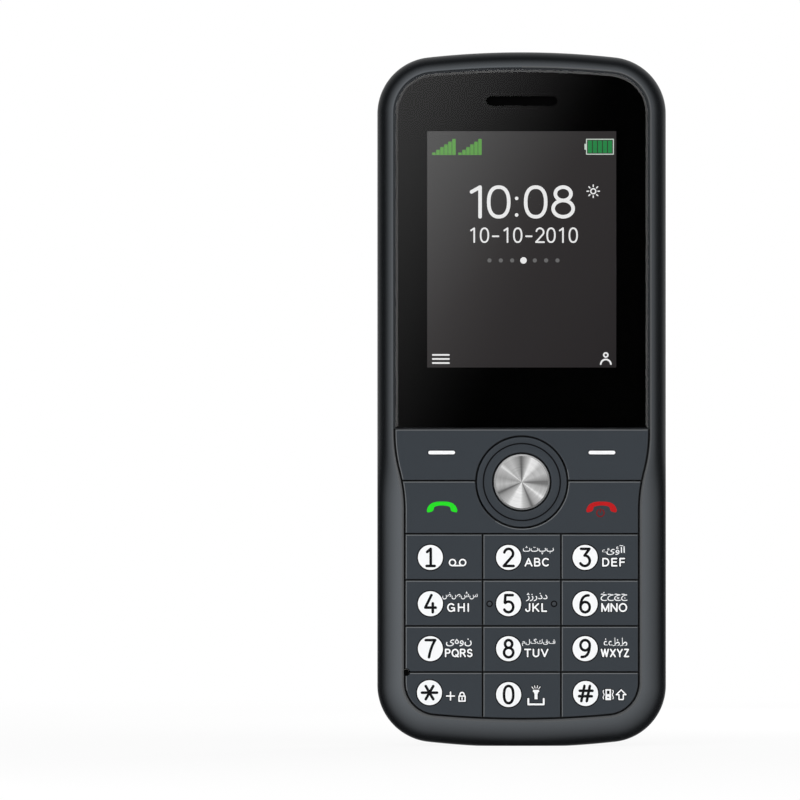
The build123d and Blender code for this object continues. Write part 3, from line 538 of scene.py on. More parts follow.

# Painted reflections of the spun finish, as sectors: angle in degrees counter-clockwise from +X as seen from
# the front, and brightness
selectPaintedGlints = [
    (0, 0.16), (6, 0.35), (22, 0.62), (40, 0.60), (52, 0.95), (66, 1.0), (74, 0.62), (86, 0.30), (92, 0.14),
    (98, 0.34), (118, 0.62), (134, 0.55), (142, 0.95), (147, 0.60), (168, 0.42), (186, 0.62), (198, 0.45),
    (205, 0.14), (212, 0.36), (232, 0.60), (242, 0.98), (266, 1.0), (274, 0.66), (287, 0.40), (293, 0.14),
    (300, 0.42), (316, 0.62), (323, 0.98), (330, 0.66), (346, 0.52), (355, 0.22),
]
rimStops = [(0, 0.9), (90, 0.95), (180, 0.9), (270, 0.95)]
# painted reflections round the camera's bezel and its trim ring
bezelPaintedGlints = [
    (0, 0.17), (20, 0.08), (40, 0.19), (62, 0.07), (88, 0.04), (105, 0.12), (120, 0.31), (150, 0.12),
    (175, 0.35), (188, 0.25), (215, 0.05), (240, 0.16), (262, 0.33), (285, 0.33), (300, 0.10), (318, 0.31),
    (340, 0.21),
]
trimPaintedGlints = [
    (0, 0.34), (40, 0.20), (75, 0.36), (110, 0.26), (135, 0.40), (180, 0.46), (225, 0.22), (262, 0.40),
    (290, 0.16), (325, 0.42), (345, 0.30),
]


def materialSet():
    selectCentre = (nav["x"], 0, nav["z"])
    cameraCentre = (camera["x"], 0, camera["z"])
    return {
        "window": windowMaterial(),
        "windowPrint": plasticMaterial(
            "windowPrint", (0.0015, 0.0015, 0.0016), 0.5, depth=0.02, Specular_IOR_Level=0.0
        ),
        "cover": coverMaterial(),
        "picture": pictureMaterial(),
        "glowWhite": glowMaterial("glowWhite", (0.92, 0.92, 0.92), 0.04),
        "glowGreen": glowMaterial("glowGreen", (0.12, 0.37, 0.07)),
        "glowPale": glowMaterial("glowPale", (0.62, 0.72, 0.64)),
        "glowDeep": glowMaterial("glowDeep", (0.03, 0.26, 0.075)),
        "glowDim": glowMaterial("glowDim", (0.16, 0.16, 0.16)),
        "glass": printedGlassMaterial(),
        "lens": lensMaterial(),
        "clearLens": clearLensMaterial(),
        "cloth": meshClothMaterial(),
        "board": boardMaterial(),
        "spunSelectPaintedGlints": spunMaterialWithPaintedGlints(
            "spunSelectPaintedGlints", selectCentre, selectPaintedGlints, 9000.0, 0.12, 0.24, 0.16, Anisotropic=0.4
        ),
        "brightRim": spunMaterialWithPaintedGlints("brightRim", selectCentre, rimStops, 3000.0, 0.03, 0.14, 0.05),
        "spunBezelPaintedGlints": spunMaterialWithPaintedGlints("spunBezelPaintedGlints", cameraCentre, bezelPaintedGlints, 6000.0, 0.06, 0.22, 0.2),
        "spunTrimPaintedGlints": spunMaterialWithPaintedGlints("spunTrimPaintedGlints", cameraCentre, trimPaintedGlints, 14000.0, 0.10, 0.2, 0.3),
    }


looks = materialSet()
print("materials made:", len(bpy.data.materials))


# Mesh helpers

weldStep = 2e-8  # points nearer than this, in metres, become one


def addPiece(name, points, faces, material, body, replaced=(), sharp=35):
    # one closed mesh from arrays: doubles merged by rounding, smooth but for edges sharper than the angle
    places = np.round(points / weldStep).astype(np.int64)
    _, first, back = np.unique(places, axis=0, return_index=True, return_inverse=True)
    back = back.ravel()
    welded = points[first]
    clean = [list(dict.fromkeys(back[corner] for corner in face)) for face in faces]
    clean = [face for face in clean if len(face) > 2]
    mesh = bpy.data.meshes.new(name)
    mesh.from_pydata(welded.tolist(), [], clean)
    mesh.polygons.foreach_set("use_smooth", np.ones(len(mesh.polygons), bool))
    mesh.set_sharp_from_angle(angle=math.radians(sharp))
    mesh.materials.append(material)
    mesh.update()
    piece = bpy.data.objects.new(name, mesh)
    bpy.context.scene.collection.objects.link(piece)
    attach(piece, body)
    if replaced:
        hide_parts(*replaced)
    return piece


def meshValues(items, label, width=1, kind=np.float32):
    # one attribute of a mesh's vertices, corners or faces as an array
    values = np.empty(len(items) * width, kind)
    items.foreach_get(label, values)
    return values.reshape(-1, width) if width > 1 else values


def secondMaterial(piece, material, where):
    # gives the faces that the mask picks a second material
    piece.data.materials.append(material)
    piece.data.polygons.foreach_set("material_index", where.astype(np.int32))


def softenShading(piece):
    # large flat faces keep their own normals, so rounds run out into them cleanly
    shading = piece.modifiers.new("faceWeight", "WEIGHTED_NORMAL")
    shading.keep_sharp = True
    return piece


def unit(vectors):
    return vectors / np.maximum(np.linalg.norm(vectors, axis=1), 1e-20)[:, None]


softEdge = {
    # slope of a chamfer's shading in degrees, and what is added where it faces up and left
    "tilt": 12.0,
    "up": 8.8,
    "left": 6.6,
    "sides": 0.5,
    # share of the direction towards the upper left from which a chamfer counts as lit
    "litFrom": 0.35,
    "litUp": 0.8,
    "litLeft": 0.6,
    # a face is flat or a wall by the Y of its normal; walls meet smoothly where their normals agree
    "flatFrom": 0.99,
    "wallTo": 0.05,
    "smoothFrom": 0.94,
}


def softEdges(piece, edge=None, calm=None):
    # flat faces keep their own normal; the narrow chamfer round them shades as a shallow slope, which
    # catches the light most at the top and left, where it may carry a lighter material of its own, a painted
    # highlight; inside the calm box it is flat
    mesh = piece.data
    corner = meshValues(mesh.loops, "vertex_index", kind=np.int32)
    total = meshValues(mesh.polygons, "loop_total", kind=np.int32)
    normal = meshValues(mesh.polygons, "normal", 3).astype(float)
    area = meshValues(mesh.polygons, "area")
    owner = np.repeat(np.arange(len(mesh.polygons)), total)
    facing = np.abs(normal[:, 1])
    flat, wall = facing > softEdge["flatFrom"], facing < softEdge["wallTo"]
    own = normal[owner]
    gathered = np.zeros((len(mesh.vertices), 3))
    onWall = wall[owner]
    np.add.at(gathered, corner[onWall], (own * area[owner][:, None])[onWall])
    byWall = unit(gathered)[corner]
    level = unit(own * (1, 0, 1))
    agrees = (byWall * level).sum(1) > softEdge["smoothFrom"]
    alongWall = np.where(agrees[:, None], byWall, level)
    ahead = np.stack([0 * own[:, 0], np.sign(own[:, 1]), 0 * own[:, 0]], 1)
    across = -alongWall[:, 0] if calm is None else softEdge["sides"] * np.abs(alongWall[:, 0])
    tilt = softEdge["tilt"] + softEdge["up"] * alongWall[:, 2] + softEdge["left"] * across
    if calm is not None:
        # the lower chamfer's slope comes down to nothing
        tilt += (softEdge["tilt"] - softEdge["up"]) * np.minimum(alongWall[:, 2], 0)
        place = meshValues(mesh.vertices, "co", 3)[corner]
        besideX = np.abs(place[:, 0] - calm["x"]) < calm["halfX"]
        besideZ = np.abs(place[:, 2] - calm["z"]) < calm["halfZ"]
        tilt[besideX & besideZ] = 0
    if edge is not None:
        # the chamfers facing up and left carry the painted highlight
        towards = normal[:, 2] * softEdge["litUp"] - normal[:, 0] * softEdge["litLeft"]
        lit = ~(flat | wall) & (towards > softEdge["litFrom"] * np.hypot(normal[:, 0], normal[:, 2]))
        secondMaterial(piece, edge, lit)
    tilt = np.radians(tilt)[:, None]
    result = np.where(onWall[:, None], alongWall, np.cos(tilt) * ahead + np.sin(tilt) * alongWall)
    result = np.where(flat[owner][:, None], ahead, result)
    mesh.normals_split_custom_set(result.tolist())
    return piece


def smoothTwin(node, material, adjust=None, soft=False, edge=None):
    # a merged, smooth-shaded copy of a CAD node that stands for it
    source = nodes[node].data
    points = meshValues(source.vertices, "co", 3).astype(float)
    corners = meshValues(source.loops, "vertex_index", kind=np.int32)
    if adjust:
        points = adjust(points)
    triangles = corners.reshape(-1, 3).tolist()
    piece = addPiece(
        node + "_finish", points, triangles, material, nodes[node]["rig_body"], (node,), sharp=32
    )
    return softEdges(piece, edge) if soft else softenShading(piece)


def gridFaces(rows, columns, closeRows=False):
    # quads of a grid: each row closes on itself, and the last row may join the first
    row = np.arange(rows if closeRows else rows - 1)
    row, column = (axis.ravel() for axis in np.meshgrid(row, np.arange(columns), indexing="ij"))
    nextRow, nextColumn = (row + 1) % rows, (column + 1) % columns
    return np.stack([row * columns + column, row * columns + nextColumn,
                     nextRow * columns + nextColumn, nextRow * columns + column], 1)


def outward(points, faces):
    # turns the faces round if the closed form's signed volume is negative
    first, second, third, fourth = (points[faces[:, corner]] for corner in range(4))
    halves = ((second, third), (third, fourth))
    volume = sum(np.einsum("ij,ij->i", first, np.cross(*half)) for half in halves)
    return faces if volume.sum() > 0 else faces[:, ::-1]


def turned(profile, centreX, centreZ, steps):
    # a closed profile of (radius, y) turned about the line x = centreX, z = centreZ
    radius, y = np.array(profile, float).T
    angle = np.linspace(0, 2 * math.pi, steps, endpoint=False)
    x = centreX + np.outer(radius, np.cos(angle))
    z = centreZ + np.outer(radius, np.sin(angle))
    points = np.stack([x, np.repeat(y[:, None], steps, 1), z], 2).reshape(-1, 3)
    return points, outward(points, gridFaces(len(profile), steps, closeRows=True))


def joined(parts, step=0.0):
    # several (points, faces) as one mesh; each part's front may stand a step before the last one's,
    # so that crossing strokes never share a plane
    points, faces, start = [], [], 0
    for index, (partPoints, partFaces) in enumerate(parts):
        partPoints = np.array(partPoints, float)
        frontmost = partPoints[:, 1] < partPoints[:, 1].min() + 1e-9
        partPoints[frontmost, 1] -= index * step
        points.append(partPoints)
        faces += [[int(corner) + start for corner in face] for face in partFaces]
        start += len(partPoints)
    return np.concatenate(points), faces


endSteps = 5  # rows in each round end of a stroke


def ribbon(path, width, frontY, backY, closed=False):
    # a stroke of even width along a path of (x, z), with round ends; its front and back lie at the two depths
    path = np.array(path, float)
    if closed:
        ahead = np.roll(path, -1, 0) - np.roll(path, 1, 0)
    else:
        ahead = np.gradient(path, axis=0)
    ahead /= np.linalg.norm(ahead, axis=1)[:, None]
    half = np.full(len(path), width / 2)
    if not closed:
        bend = np.sin(np.linspace(0, math.pi / 2, endSteps + 1))[1:]
        reach = width / 2 * bend[:, None]
        narrow = width / 2 * np.sqrt(1 - bend**2)
        path = np.concatenate([path[0] - reach[::-1] * ahead[0], path, path[-1] + reach * ahead[-1]])
        ahead = np.concatenate([np.repeat(ahead[:1], endSteps, 0), ahead, np.repeat(ahead[-1:], endSteps, 0)])
        half = np.concatenate([narrow[::-1], half, narrow])
    side = np.stack([-ahead[:, 1], ahead[:, 0]], 1) * half[:, None]
    corners = [(path + side, frontY), (path - side, frontY), (path - side, backY), (path + side, backY)]
    ring = [np.stack([place[:, 0], np.full(len(place), y), place[:, 1]], 1) for place, y in corners]
    points = np.stack(ring, 1).reshape(-1, 3)
    return points, outward(points, gridFaces(len(path), 4, closeRows=closed))


def blockAt(x, z, width, height, frontY, backY):
    # a plain plate with square corners
    places = [(x - width / 2, z - height / 2), (x + width / 2, z - height / 2),
              (x + width / 2, z + height / 2), (x - width / 2, z + height / 2)]
    points = np.array([(px, y, pz) for y in (frontY, backY) for px, pz in places])
    faces = np.array([(0, 1, 2, 3), (7, 6, 5, 4), (0, 4, 5, 1), (1, 5, 6, 2), (2, 6, 7, 3), (3, 7, 4, 0)])
    return points, outward(points, faces)


# Figures: strokes in a box one unit high, standing on z = 0 and centred on x = 0

def arc(x, z, radiusX, radiusZ, start, end, steps=28):
    # part of an oval between two angles in degrees
    angle = np.radians(np.linspace(start, end, steps))
    return np.stack([x + radiusX * np.cos(angle), z + radiusZ * np.sin(angle)], 1)


ovalSteps = 56  # points of a closed oval, by which wordParts knows one


def loop(x, z, radiusX, radiusZ, power=1.0):
    # a closed oval; a power under 1 squares its shoulders
    angle = np.linspace(0, 2 * math.pi, ovalSteps, endpoint=False)
    across, up = (np.sign(wave) * np.abs(wave) ** power for wave in (np.cos(angle), np.sin(angle)))
    return np.stack([x + radiusX * across, z + radiusZ * up], 1)


def bow(start, pull, end, steps=20):
    # a quadratic curve from start to end, drawn towards the pull
    share = np.linspace(0, 1, steps)[:, None]
    start, pull, end = (np.array(place, float) for place in (start, pull, end))
    return (1 - share) ** 2 * start + 2 * share * (1 - share) * pull + share**2 * end


def straight(*places):
    # straight runs with a point every so often, so that corners stay square
    share = np.linspace(0, 1, 6)[:, None]
    ends = np.array(places, float)
    return [(1 - share) * start + share * end for start, end in zip(ends[:-1], ends[1:])]


def spoke(angle, reach=0.44):
    # a run through the star's middle
    x, z = reach * math.cos(angle), reach * math.sin(angle)
    return straight((x, 0.5 + z), (-x, 0.5 - z))[0]


def figureStrokes(figure):
    # (path, closed) for each stroke of a figure; the shapes hold open strokes, then closed ones
    twoTop = arc(0, 0.72, 0.26, 0.28, 165, -30)
    shapes = {
        "0": ([], [loop(0, 0.5, 0.27, 0.5, 0.86)]),
        "1": (straight((-0.19, 0.82), (0.02, 1.0), (0.02, 0)) + straight((-0.22, 0), (0.25, 0)), []),
        "i": (straight((-0.17, 0.84), (0.06, 1.0), (0.06, 0)), []),
        "2": ([twoTop] + straight(tuple(twoTop[-1]), (-0.28, 0), (0.29, 0)), []),
        "3": (straight((-0.24, 1), (0.25, 1), (-0.03, 0.61))
              + [arc(-0.02, 0.305, 0.29, 0.305, 92, -150)], []),
        "4": (straight((0.06, 1), (-0.3, 0.27), (0.31, 0.27)) + straight((0.14, 0.52), (0.14, 0)), []),
        "5": (straight((0.24, 1), (-0.19, 1), (-0.22, 0.56)) + [arc(-0.01, 0.31, 0.28, 0.31, 132, -150)], []),
        "6": ([bow((0.2, 0.985), (-0.25, 1.0), (-0.27, 0.3))], [loop(0, 0.3, 0.27, 0.3)]),
        "7": (straight((-0.27, 1), (0.28, 1)) + [bow((0.28, 1), (0.02, 0.6), (-0.08, 0))], []),
        "8": ([], [loop(0, 0.775, 0.21, 0.225), loop(0, 0.275, 0.27, 0.275)]),
        "9": ([bow((-0.2, 0.015), (0.25, 0.0), (0.27, 0.7))], [loop(0, 0.7, 0.27, 0.3)]),
        "*": ([spoke(angle) for angle in np.radians((0, 60, 120))], []),
        "#": (straight((-0.25, 0.06), (-0.07, 0.94)) + straight((0.07, 0.06), (0.25, 0.94))
              + straight((-0.38, 0.34), (0.36, 0.34)) + straight((-0.34, 0.66), (0.40, 0.66)), []),
        "-": (straight((-0.2, 0.42), (0.2, 0.42)), []),
        ":": (straight((0, 0.06), (0, 0.0601)) + straight((0, 0.62), (0, 0.6201)), []),
    }
    opened, shut = shapes[figure]
    return [(path, False) for path in opened] + [(path, True) for path in shut]


def figureParts(figure, x, lowZ, height, stroke, frontY, backY, stretch=1.0):
    # the figure's strokes at their place, drawn in by half a stroke so that it keeps its height
    scale = height - stroke
    parts = []
    for path, closed in figureStrokes(figure):
        placed = np.stack([x + path[:, 0] * scale * stretch, lowZ + stroke / 2 + path[:, 1] * scale], 1)
        parts.append(ribbon(placed, stroke, frontY, backY, closed))
    return parts


def letterStrokes(letter):
    # (strokes, width) of a capital one unit high
    shapes = {
        "A": (straight((0, 0), (0.43, 1), (0.86, 0)) + straight((0.15, 0.32), (0.71, 0.32)), 0.86),
        "B": (straight((0.36, 1), (0, 1), (0, 0), (0.38, 0)) + straight((0, 0.53), (0.38, 0.53))
              + [arc(0.36, 0.765, 0.25, 0.235, 90, -90), arc(0.38, 0.265, 0.28, 0.265, 90, -90)], 0.66),
        "C": ([arc(0.43, 0.5, 0.43, 0.5, 48, 312)], 0.78),
        "D": (straight((0.32, 1), (0, 1), (0, 0), (0.32, 0)) + [arc(0.32, 0.5, 0.42, 0.5, 90, -90)], 0.74),
        "E": (straight((0.6, 1), (0, 1), (0, 0), (0.62, 0)) + straight((0, 0.52), (0.56, 0.52)), 0.62),
        "F": (straight((0.58, 1), (0, 1), (0, 0)) + straight((0, 0.51), (0.52, 0.51)), 0.58),
        "G": ([arc(0.43, 0.5, 0.43, 0.5, 46, 322)] + straight((0.5, 0.45), (0.84, 0.45), (0.84, 0.06)), 0.84),
        "H": (straight((0, 0), (0, 1)) + straight((0.72, 0), (0.72, 1)) + straight((0, 0.52), (0.72, 0.52)),
              0.72),
        "I": (straight((0, 0), (0, 1)), 0),
        "J": (straight((0.48, 1), (0.48, 0.26)) + [arc(0.24, 0.26, 0.24, 0.26, 0, -180)], 0.48),
        "K": (straight((0, 0), (0, 1)) + straight((0.68, 1), (0, 0.34)) + straight((0.24, 0.56), (0.72, 0)),
              0.72),
        "L": (straight((0, 1), (0, 0), (0.55, 0)), 0.55),
        "M": (straight((0, 0), (0, 1), (0.43, 0.06), (0.86, 1), (0.86, 0)), 0.86),
        "N": (straight((0, 0), (0, 1), (0.73, 0), (0.73, 1)), 0.73),
        "O": ([loop(0.45, 0.5, 0.45, 0.5)], 0.9),
        "P": (straight((0.36, 1), (0, 1), (0, 0)) + straight((0, 0.48), (0.36, 0.48))
              + [arc(0.36, 0.74, 0.28, 0.26, 90, -90)], 0.64),
        "Q": ([loop(0.45, 0.5, 0.45, 0.5)] + straight((0.56, 0.24), (0.88, -0.03)), 0.9),
        "R": (straight((0.38, 1), (0, 1), (0, 0)) + straight((0, 0.5), (0.38, 0.5), (0.7, 0))
              + [arc(0.38, 0.75, 0.28, 0.25, 90, -90)], 0.7),
        "S": ([arc(0.33, 0.75, 0.29, 0.25, 25, 270), arc(0.33, 0.25, 0.31, 0.25, 90, -155)], 0.64),
        "T": (straight((0, 1), (0.74, 1)) + straight((0.37, 1), (0.37, 0)), 0.74),
        "U": (straight((0, 1), (0, 0.34)) + [arc(0.35, 0.34, 0.35, 0.34, 180, 360)]
              + straight((0.7, 0.34), (0.7, 1)), 0.7),
        "V": (straight((0, 1), (0.41, 0), (0.82, 1)), 0.82),
        "W": (straight((0, 1), (0.3, 0), (0.6, 1), (0.9, 0), (1.2, 1)), 1.2),
        "X": (straight((0, 1), (0.78, 0)) + straight((0, 0), (0.78, 1)), 0.78),
        "Y": (straight((0, 1), (0.41, 0.46), (0.82, 1)) + straight((0.41, 0.46), (0.41, 0)), 0.82),
        "Z": (straight((0.02, 1), (0.68, 1), (0, 0), (0.7, 0)), 0.7),
    }
    return shapes[letter]


def wordParts(letters, lowX, highX, lowZ, highZ, stroke, frontY, backY, grow):
    # capitals in a row from lowX to highX, a little narrower where they would touch
    shapes = [letterStrokes(letter) for letter in letters]
    total = sum(width for _, width in shapes)
    tall = highZ - lowZ - stroke
    room = highX - lowX - stroke * len(letters)
    leastGap = legend["letterGap"] * (len(letters) - 1)
    wide = min(tall * legend["letterStretch"], (room - leastGap) / total)
    gap = (room - wide * total) / (len(letters) - 1)
    parts, x = [], lowX + stroke / 2
    for paths, width in shapes:
        for path in paths:
            placed = np.stack([x + path[:, 0] * wide, lowZ + stroke / 2 + path[:, 1] * tall], 1)
            parts.append(ribbon(placed, stroke + grow, frontY, backY, closed=len(path) == ovalSteps))
        x += width * wide + stroke + gap
    return parts


def scriptParts(words, lowX, highX, lowZ, highZ):
    # letters of the built-in face, fitted to a box and given a thickness; neighbours stand at different
    # heights, so that letters that touch never share a plane
    curve = bpy.data.curves.new("letters", "FONT")
    curve.body = words
    curve.offset = legend["scriptWeight"]
    curve.extrude = 0.5
    curve.resolution_u = 4
    holder = bpy.data.objects.new("letters", curve)
    bpy.context.scene.collection.objects.link(holder)
    shape = bpy.data.meshes.new_from_object(holder.evaluated_get(bpy.context.evaluated_depsgraph_get()))
    place = meshValues(shape.vertices, "co", 3).astype(float)
    faces = [list(polygon.vertices) for polygon in shape.polygons]
    low, high = place.min(0), place.max(0)
    x = lowX + (place[:, 0] - low[0]) / (high[0] - low[0]) * (highX - lowX)
    z = lowZ + (place[:, 1] - low[1]) / (high[1] - low[1]) * (highZ - lowZ)
    # a letter's points are told by the lowest number among the points that its faces join; a dozen rounds
    # carry that number right across the letter
    owner = np.arange(len(place))
    for _ in range(12):
        for face in faces:
            owner[face] = owner[face].min()
    letter = np.unique(owner, return_inverse=True)[1].ravel()
    isFront = place[:, 2] > (low[2] + high[2]) / 2
    y = np.where(isFront, frontY - letter % legend["scriptLevels"] * legend["step"], backY)
    bpy.data.objects.remove(holder)
    bpy.data.meshes.remove(shape)
    bpy.data.curves.remove(curve)
    return np.stack([x, y, z], 1), faces


slotOf = {part["node"]: part["material_slot"] for part in frame["record"]["subparts"]}
print("helpers ready:", len(slotOf), "finishes in the record")


# CAD nodes: round forms get a smooth twin, flat ones keep their mesh and get a finish

twins = {
    "front_housing": shellPlastic,
    "rear_housing": shellPlastic,
    "back_cover": looks["cover"],
    "softkey_bar": keyPlastic,
    "call_bar": keyPlastic,
    "torch_lens": looks["clearLens"],
    "headphone_socket": blackPlastic,
    "charging_socket": sheetSteel,
    "battery": batteryFilm,
    "vibration_motor": sheetSteel,
    "camera_module": blackPlastic,
    "dome_sheet": domeSteel,
}
keyNodes = ["key_" + name for name in "1 2 3 4 5 6 7 8 9 star 0 hash".split()]
twins.update({name: keyPlastic for name in keyNodes})

finishes = {
    "black_foam": foamBlack,
    "display_glass": blackPlastic,
    "sheet_steel": sheetSteel,
    "screw_steel": screwSteel,
    "flex_film": amberFilm,
    "speaker_mesh": looks["cloth"],
    "black_component": blackPlastic,
    "silicone": siliconeRubber,
    "board_laminate": looks["board"],
    "torch_white": torchYellow,
    "contact_gold": goldPlate,
}


# Front frame: the bevel between the phone's outline and the opening for window and keys

bezel = {
    "halfWidth": 24.2 * mm,
    "height": 116.35 * mm,
    "endRadius": 142.5 * mm,
    "corner": 9.56 * mm,
    "restHalf": 7.5 * mm,
    "windowHalf": 21.44 * mm,
    "windowTop": 113.62 * mm,
    "windowEndRadius": 160.75 * mm,
    "windowCorner": 6.85 * mm,
    "keypadHalf": 19.73 * mm,
    "keypadLow": 4.49 * mm,
    "keypadEndRadius": 159.15 * mm,
    "keypadCorner": 5.55 * mm,
    "waistHigh": 52.6 * mm,
    "waistLow": 39.5 * mm,
    "behindKeys": 0.2 * mm,
    "round": 4.4 * mm,
    "parting": 5.0 * mm,
    # how far the frame's skin stays back from the opening, and where its hidden ends lie
    "gap": 0.01 * mm,
    "innerDepth": 1.35 * mm,
    "innerReach": 0.5 * mm,
    "innerFall": 0.05 * mm,
    "footReach": 0.4 * mm,
    "footInset": 0.07 * mm,
    "footGap": 0.03 * mm,
    "wallGap": 0.09 * mm,
    # the rim's rounding; the bevel is steeper at the rim where it is wide
    "rimRound": 0.11 * mm,
    "rimFlatness": 0.9,
    "narrowBevel": 2.75 * mm,
    "wideBevel": 4.4 * mm,
    "narrowSlope": 0.375,
    "wideSlope": 0.6,
    "rows": 30,
    "rowCrowding": 1.15,
    # the CAD skin sinks this far below the frame's, with the tolerances that find it
    "skinDrop": 0.45 * mm,
    "skinInset": 0.12 * mm,
    "wallTolerance": 0.04 * mm,
    "endTolerance": 0.01 * mm,
    "roundTolerance": 0.05 * mm,
    "rimTolerance": 0.1 * mm,
    "rimKeep": 0.3 * mm,
    "partingKeep": 0.2 * mm,
    "partingRest": 0.15 * mm,
}
frontPlaneY = keyFrontY + bezel["behindKeys"]


def endCurve(half, endZ, radius, corner, up, steps=56):
    # right half of a rounded end, middle to side: a shallow arc and a corner arc that run into each other
    centreZ = endZ - up * radius
    cornerX = half - corner
    rise = math.sqrt((radius - corner) ** 2 - cornerX**2)
    lean = math.atan2(cornerX, rise)
    shallow = np.linspace(0, lean, steps)
    tight = np.linspace(lean, math.pi / 2, steps)[1:]
    end = np.stack([radius * np.sin(shallow), centreZ + up * radius * np.cos(shallow)], 1)
    bend = np.stack([cornerX + corner * np.sin(tight), centreZ + up * (rise + corner * np.cos(tight))], 1)
    return np.concatenate([end, bend])


def sideRun(start, end, steps):
    # the points between two ends of a straight side, without the ends themselves
    share = np.linspace(0, 1, steps)[1:-1, None]
    return (1 - share) * np.array(start) + share * np.array(end)


def mirrored(right):
    # a right half that runs from the top middle to the bottom middle, closed by its mirror image
    left = right[-2:0:-1] * (-1, 1)
    return np.concatenate([right, left])


def phoneOutline():
    # both ends are the same rounded end; the lower one is cut off flat at z = 0, where the phone rests
    b = bezel
    flatDrop = b["endRadius"] - math.sqrt(b["endRadius"] ** 2 - b["restHalf"] ** 2)
    top = endCurve(b["halfWidth"], b["height"], b["endRadius"], b["corner"], 1)
    low = endCurve(b["halfWidth"], -flatDrop, b["endRadius"], b["corner"], -1)[::-1]
    return mirrored(np.concatenate([top, sideRun(top[-1], low[0], 160), low]))


def openingOutline():
    # wide round the window, then a waist of two equal arcs, narrower round the keys
    b = bezel
    top = endCurve(b["windowHalf"], b["windowTop"], b["windowEndRadius"], b["windowCorner"], 1)
    low = endCurve(b["keypadHalf"], b["keypadLow"], b["keypadEndRadius"], b["keypadCorner"], -1)[::-1]
    across, down = b["windowHalf"] - b["keypadHalf"], b["waistHigh"] - b["waistLow"]
    radius = ((across / 2) ** 2 + (down / 2) ** 2) / across
    turn = np.linspace(0, math.asin(down / 2 / radius), 24)
    inward, drop = radius * (1 - np.cos(turn)), radius * np.sin(turn)
    first = np.stack([b["windowHalf"] - inward, b["waistHigh"] - drop], 1)
    second = first[0] + (-across, -down) - (first[::-1] - first[0])
    upperSide, lowerSide = sideRun(top[-1], first[0], 60), sideRun(second[-1], low[0], 60)
    return mirrored(np.concatenate([top, upperSide, first, second[1:], lowerSide, low]))


def inwardNormals(outline):
    # the outline runs clockwise as seen from the front, so inward is to its right
    ahead = np.roll(outline, -1, 0) - np.roll(outline, 1, 0)
    ahead /= np.linalg.norm(ahead, axis=1)[:, None]
    return np.stack([ahead[:, 1], -ahead[:, 0]], 1)


def crossed(first, second):
    # cross product of two arrays of (x, z)
    return first[..., 0] * second[..., 1] - first[..., 1] * second[..., 0]


def reachTo(outline, normals, target):
    # how far each outline point is from the target outline, along its normal
    run = (np.roll(target, -1, 0) - target)[None]
    gap = target[None] - outline[:, None]
    normals = normals[:, None]
    cross = crossed(normals, run)
    cross = np.where(np.abs(cross) < 1e-15, 1e-15, cross)
    along = crossed(gap, run) / cross
    share = crossed(gap, normals) / cross
    hit = (share >= -1e-6) & (share <= 1 + 1e-6) & (along > 0)
    return np.where(hit, along, 1.0).min(1)


bodyEdge = phoneOutline()
bodyInward = inwardNormals(bodyEdge)
bevelWidth = reachTo(bodyEdge, bodyInward, openingOutline())


def sinkSkin(points):
    # moves the CAD skin of the bevel a little inwards, so that it lies under the frame's own surface
    b = bezel
    flat = points[:, [0, 2]]
    depth = points[:, 1] - frontPlaneY
    # in batches, because the table of all distances would be large
    batches = [flat[low:low + 2000] for low in range(0, len(flat), 2000)]
    nearest = np.concatenate([((batch[:, None] - bodyEdge[None]) ** 2).sum(2).argmin(1) for batch in batches])
    inset = ((flat - bodyEdge[nearest]) * bodyInward[nearest]).sum(1)
    left = np.clip(b["round"] - inset, 0, b["round"])
    roundDepth = b["round"] - np.sqrt(b["round"] ** 2 - left**2)
    onWall = (np.abs(inset) < b["wallTolerance"]) | (points[:, 2] < b["endTolerance"])
    onWall &= (depth > 0) & (depth < b["parting"] + b["endTolerance"])
    onRound = (np.abs(depth - roundDepth) < b["roundTolerance"]) & (inset > -b["wallTolerance"])
    onRound &= inset < bevelWidth[nearest] + b["rimTolerance"]
    skin = onWall | onRound
    away = skin & (inset < bevelWidth[nearest] - b["rimKeep"])
    points = points.copy()
    points[away, 0] += b["skinInset"] * bodyInward[nearest[away], 0]
    points[away, 2] += b["skinInset"] * bodyInward[nearest[away], 1]
    lowest = frontPlaneY + b["parting"] - b["partingRest"]
    dropped = skin & (depth < b["parting"] - b["partingKeep"])
    points[dropped, 1] = np.minimum(points[dropped, 1] + b["skinDrop"], lowest)
    return points


